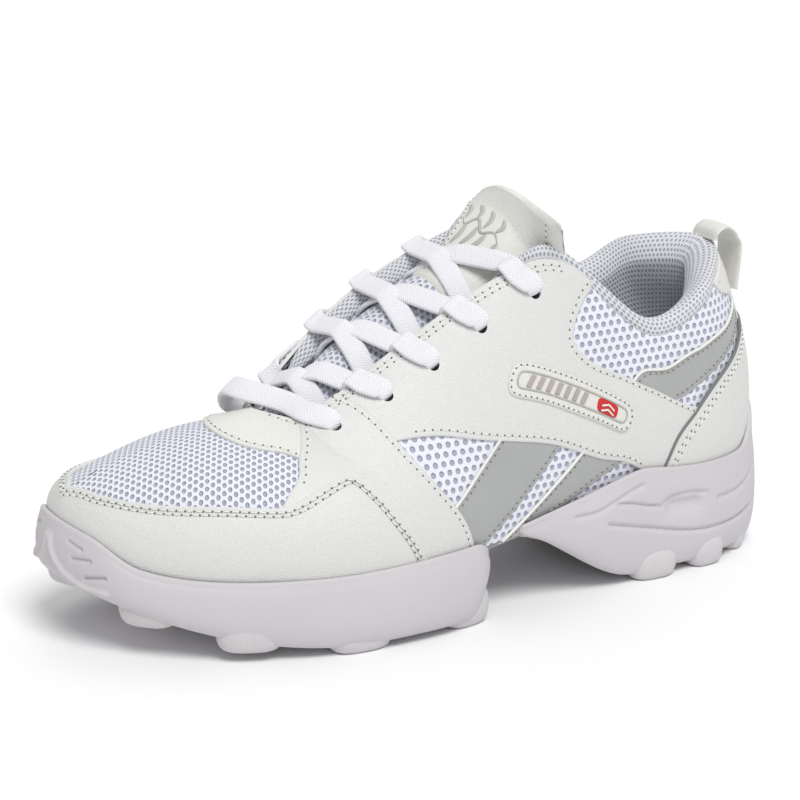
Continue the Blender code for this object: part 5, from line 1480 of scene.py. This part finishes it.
def skin_tube(name, line, level, radius, material, closed=False):
    """A cord laid along a line on the skin."""
    data = fine_line(line, level)
    count = max(4, int(length_along(data[:, :3])[-1] / 1.2))
    data = resample(data, count, data[:, :3])
    path, normal = data[:, :3], unit(data[:, 3:])
    if closed:
        path, normal = path[:-1], normal[:-1]
        tangent = unit(np.roll(path, -1, 0) - np.roll(path, 1, 0))
    else:
        tangent = unit(np.gradient(path, axis=0))
    side = unit(np.cross(tangent, normal))
    turn = full_turn(TUBE_SIDES)[None, :, None]
    verts = path[:, None] + radius * (side[:, None] * np.cos(turn) + normal[:, None] * np.sin(turn))
    faces = grid_faces(len(path), TUBE_SIDES, True, True) if closed else tube_faces(len(path), TUBE_SIDES)
    return piece(name, verts.reshape(-1, 3), faces, material, "bend", None, [])


def shift_line(line, distance):
    line = np.asarray(line, float)
    return line + sideways(line, False) * distance


# long edges of the stripes that are stitched, in (u, t)
STRIPE_TOP = {"front": [(5.47, 0.21), (6.38, 0.40)], "middle": [(6.25, -0.02), (6.75, 0.08), (7.34, 0.19)],
              "rear": [(8.20, 0.39), (8.60, 0.54), (9.20, 0.70), (9.6, 0.705), (10.05, 0.685), (10.6, 0.68)]}
STRIPE_FOOT = {"front": [(5.90, -0.02), (6.4, 0.10), (7.05, 0.25)],
               "middle": [(6.8, -0.02), (7.2, 0.015), (7.92, 0.07)],
               "rear": [(8.85, 0.40), (9.25, 0.49), (9.62, 0.53), (10.0, 0.555), (10.6, 0.58)]}
STRIPE_INSET = 1.6
PIPING = {"front": [(5.47, 0.21), (5.95, 0.31), (6.38, 0.40)],
          "middle": [(6.15, -0.04), (6.75, 0.08), (7.34, 0.19)],
          "rear": STRIPE_TOP["rear"][:-1] + [(10.66, 0.68)]}


class Seams:
    """Rows of thread and needle holes, gathered into one piece each; the needle holes are dark dots of
    painted shade.
    """

    def __init__(self):
        self.threads, self.holes = [], []

    def row(self, line, level, pitch=STITCH_PITCH, thread=THREAD_RADIUS, hole=HOLE_RADIUS):
        self.run(fine_line(line, level), pitch, thread, hole)

    def run(self, data, pitch=STITCH_PITCH, thread=THREAD_RADIUS, hole=HOLE_RADIUS):
        length = np.linalg.norm(np.diff(data[:, :3], axis=0), axis=1).sum()
        count = max(2, int(round(length / pitch)))
        data = resample(data, 4 * count + 1, data[:, :3])
        path, normal = data[:, :3], unit(data[:, 3:])
        tangent = unit(np.gradient(path, axis=0))
        self.add_threads(path[2::4], tangent[2::4], normal[2::4], 0.38 * length / count, thread)
        self.add_holes(path[::4], tangent[::4], normal[::4], hole)

    def add_threads(self, centre, tangent, normal, half, radius):
        side = np.cross(tangent, normal)
        rings = [(-1.0, 0.25), (-0.8, 0.8), (-0.3, 1.0), (0.3, 1.0), (0.8, 0.8), (1.0, 0.25)]
        turn = full_turn(6)
        points = []
        for a, r in rings:
            middle = centre + tangent * half * a - normal * (0.30 * abs(a) ** 3 - 0.04)
            points.append([middle + (side * math.cos(w) + normal * math.sin(w)) * radius * r for w in turn])
        self.add(self.threads, np.moveaxis(np.array(points), 2, 0), tube_faces(6, 6))

    # the needle holes are small dark discs: painted shade where the thread goes into the leather
    def add_holes(self, centre, tangent, normal, radius):
        side = np.cross(tangent, normal)
        turn = full_turn(8)
        points = [[centre + normal * lift + (side * math.cos(w) + tangent * math.sin(w)) * radius * r
                   for w in turn] for lift, r in ((-0.25, 0.6), (0.05, 1.0), (0.10, 0.5))]
        self.add(self.holes, np.moveaxis(np.array(points), 2, 0), tube_faces(3, 8))

    @staticmethod
    def add(store, blocks, faces):
        for block in blocks:
            store.append((block.reshape(-1, 3), faces))

    def make(self, name, thread_material, hole_shade_material, slot, ride="bend"):
        verts, faces = join_blocks(self.threads)
        piece(name + "_thread", verts, faces, thread_material, ride, None, [])
        verts, faces = join_blocks(self.holes)
        piece(name + "_needle_shade_dots", verts, faces, hole_shade_material, ride, None, [])


def both_sides(line):
    line = np.asarray(line, float)
    return line, np.stack([-line[:, 0], line[:, 1]], 1)


def mud_level(u, t):
    return 0.40 + 0.35 * smooth(np.abs(u), 3.2, 3.8)


def seams():
    leather, grey = Seams(), Seams()
    for distance in (-2.0, -3.4):
        line = shift_line(MUDGUARD_TOP, distance)
        line = line[line[:, 1] > 0.02]
        whole = np.vstack([np.stack([-line[::-1, 0], line[::-1, 1]], 1), line[1:]])
        leather.row(whole, lambda u, t: mud_level(u, t) + 0.32)
    eyestay = top_edge(5.02, 7.9, 0.998)
    eyestay_level = lambda u, t: 0.56 - 0.34 * smooth(np.abs(u), 5.32, 5.5)
    rows = [(shift_line(STRAP_REAR[STRAP_REAR[:, 1] > 0.0], -2.0), 0.55),
            (shift_line(STRAP_FRONT[:-8], 2.0), 0.55),
            (shift_line(THROAT_LOWER[3:-1], -1.8), 0.10),
            (trace([(4.28, 0.972), (4.6, 0.955), (4.9, 0.945)]), 0.10),
            (shift_line(eyestay, -2.3), eyestay_level),
            (shift_line(eyestay, -4.0), eyestay_level),
            (shift_line(QUARTER_LOWER[4:-3], 2.0), 0.22),
            (shift_line(COLLAR_FRONT[2:], 2.0), 0.22),
            (shift_line(COUNTER_EDGE[2:], -2.0), 0.62),
            (shift_line(COUNTER_EDGE[2:], -3.4), 0.62)]
    for line, level in rows:
        for side_line in both_sides(line):
            leather.row(side_line, level)
    badge_line = badge_loop(0.9)
    leather.row(np.vstack([badge_line, badge_line[:1]]), 1.24, pitch=2.3)
    leather.make("upper_seams", THREAD, PAINTED_NEEDLE_SHADE, "white_leather")
    for name in STRIPE_TOP:
        for line, distance in ((STRIPE_TOP[name], -STRIPE_INSET), (STRIPE_FOOT[name], STRIPE_INSET)):
            for side_line in both_sides(shift_line(trace(line), distance)):
                grey.row(side_line, -0.42, pitch=2.6, thread=0.22)
    grey.make("stripe_seams", GREY_THREAD, PAINTED_NEEDLE_SHADE, "grey_leather")
    for name, line in PIPING.items():
        for side, side_line in zip(("outer", "inner"), both_sides(trace(line))):
            skin_tube("piping_%s_%s" % (name, side), side_line, -0.35, 0.55, EDGE_WHITE)
    # a dark cord just outside the counter's front edge: painted shadow line of the overlap
    for side, side_line in zip(("outer", "inner"), both_sides(shift_line(COUNTER_EDGE[1:], 0.7))):
        skin_tube("counter_edge_shadow_" + side, side_line, 0.15, 0.6, PAINTED_EDGE_SHADOW)


def finish_scene():
    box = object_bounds()
    {"cad": [list(corner) for corner in CAD_BOX], "visual": [list(corner) for corner in box]}


build_stage()
vamp_parts()
side_parts()
stripe_parts()
heel_parts()
sole()
inner_parts()
collar()
pull_loop()
tongue()
lace()
badge()
seams()
finish_scene()
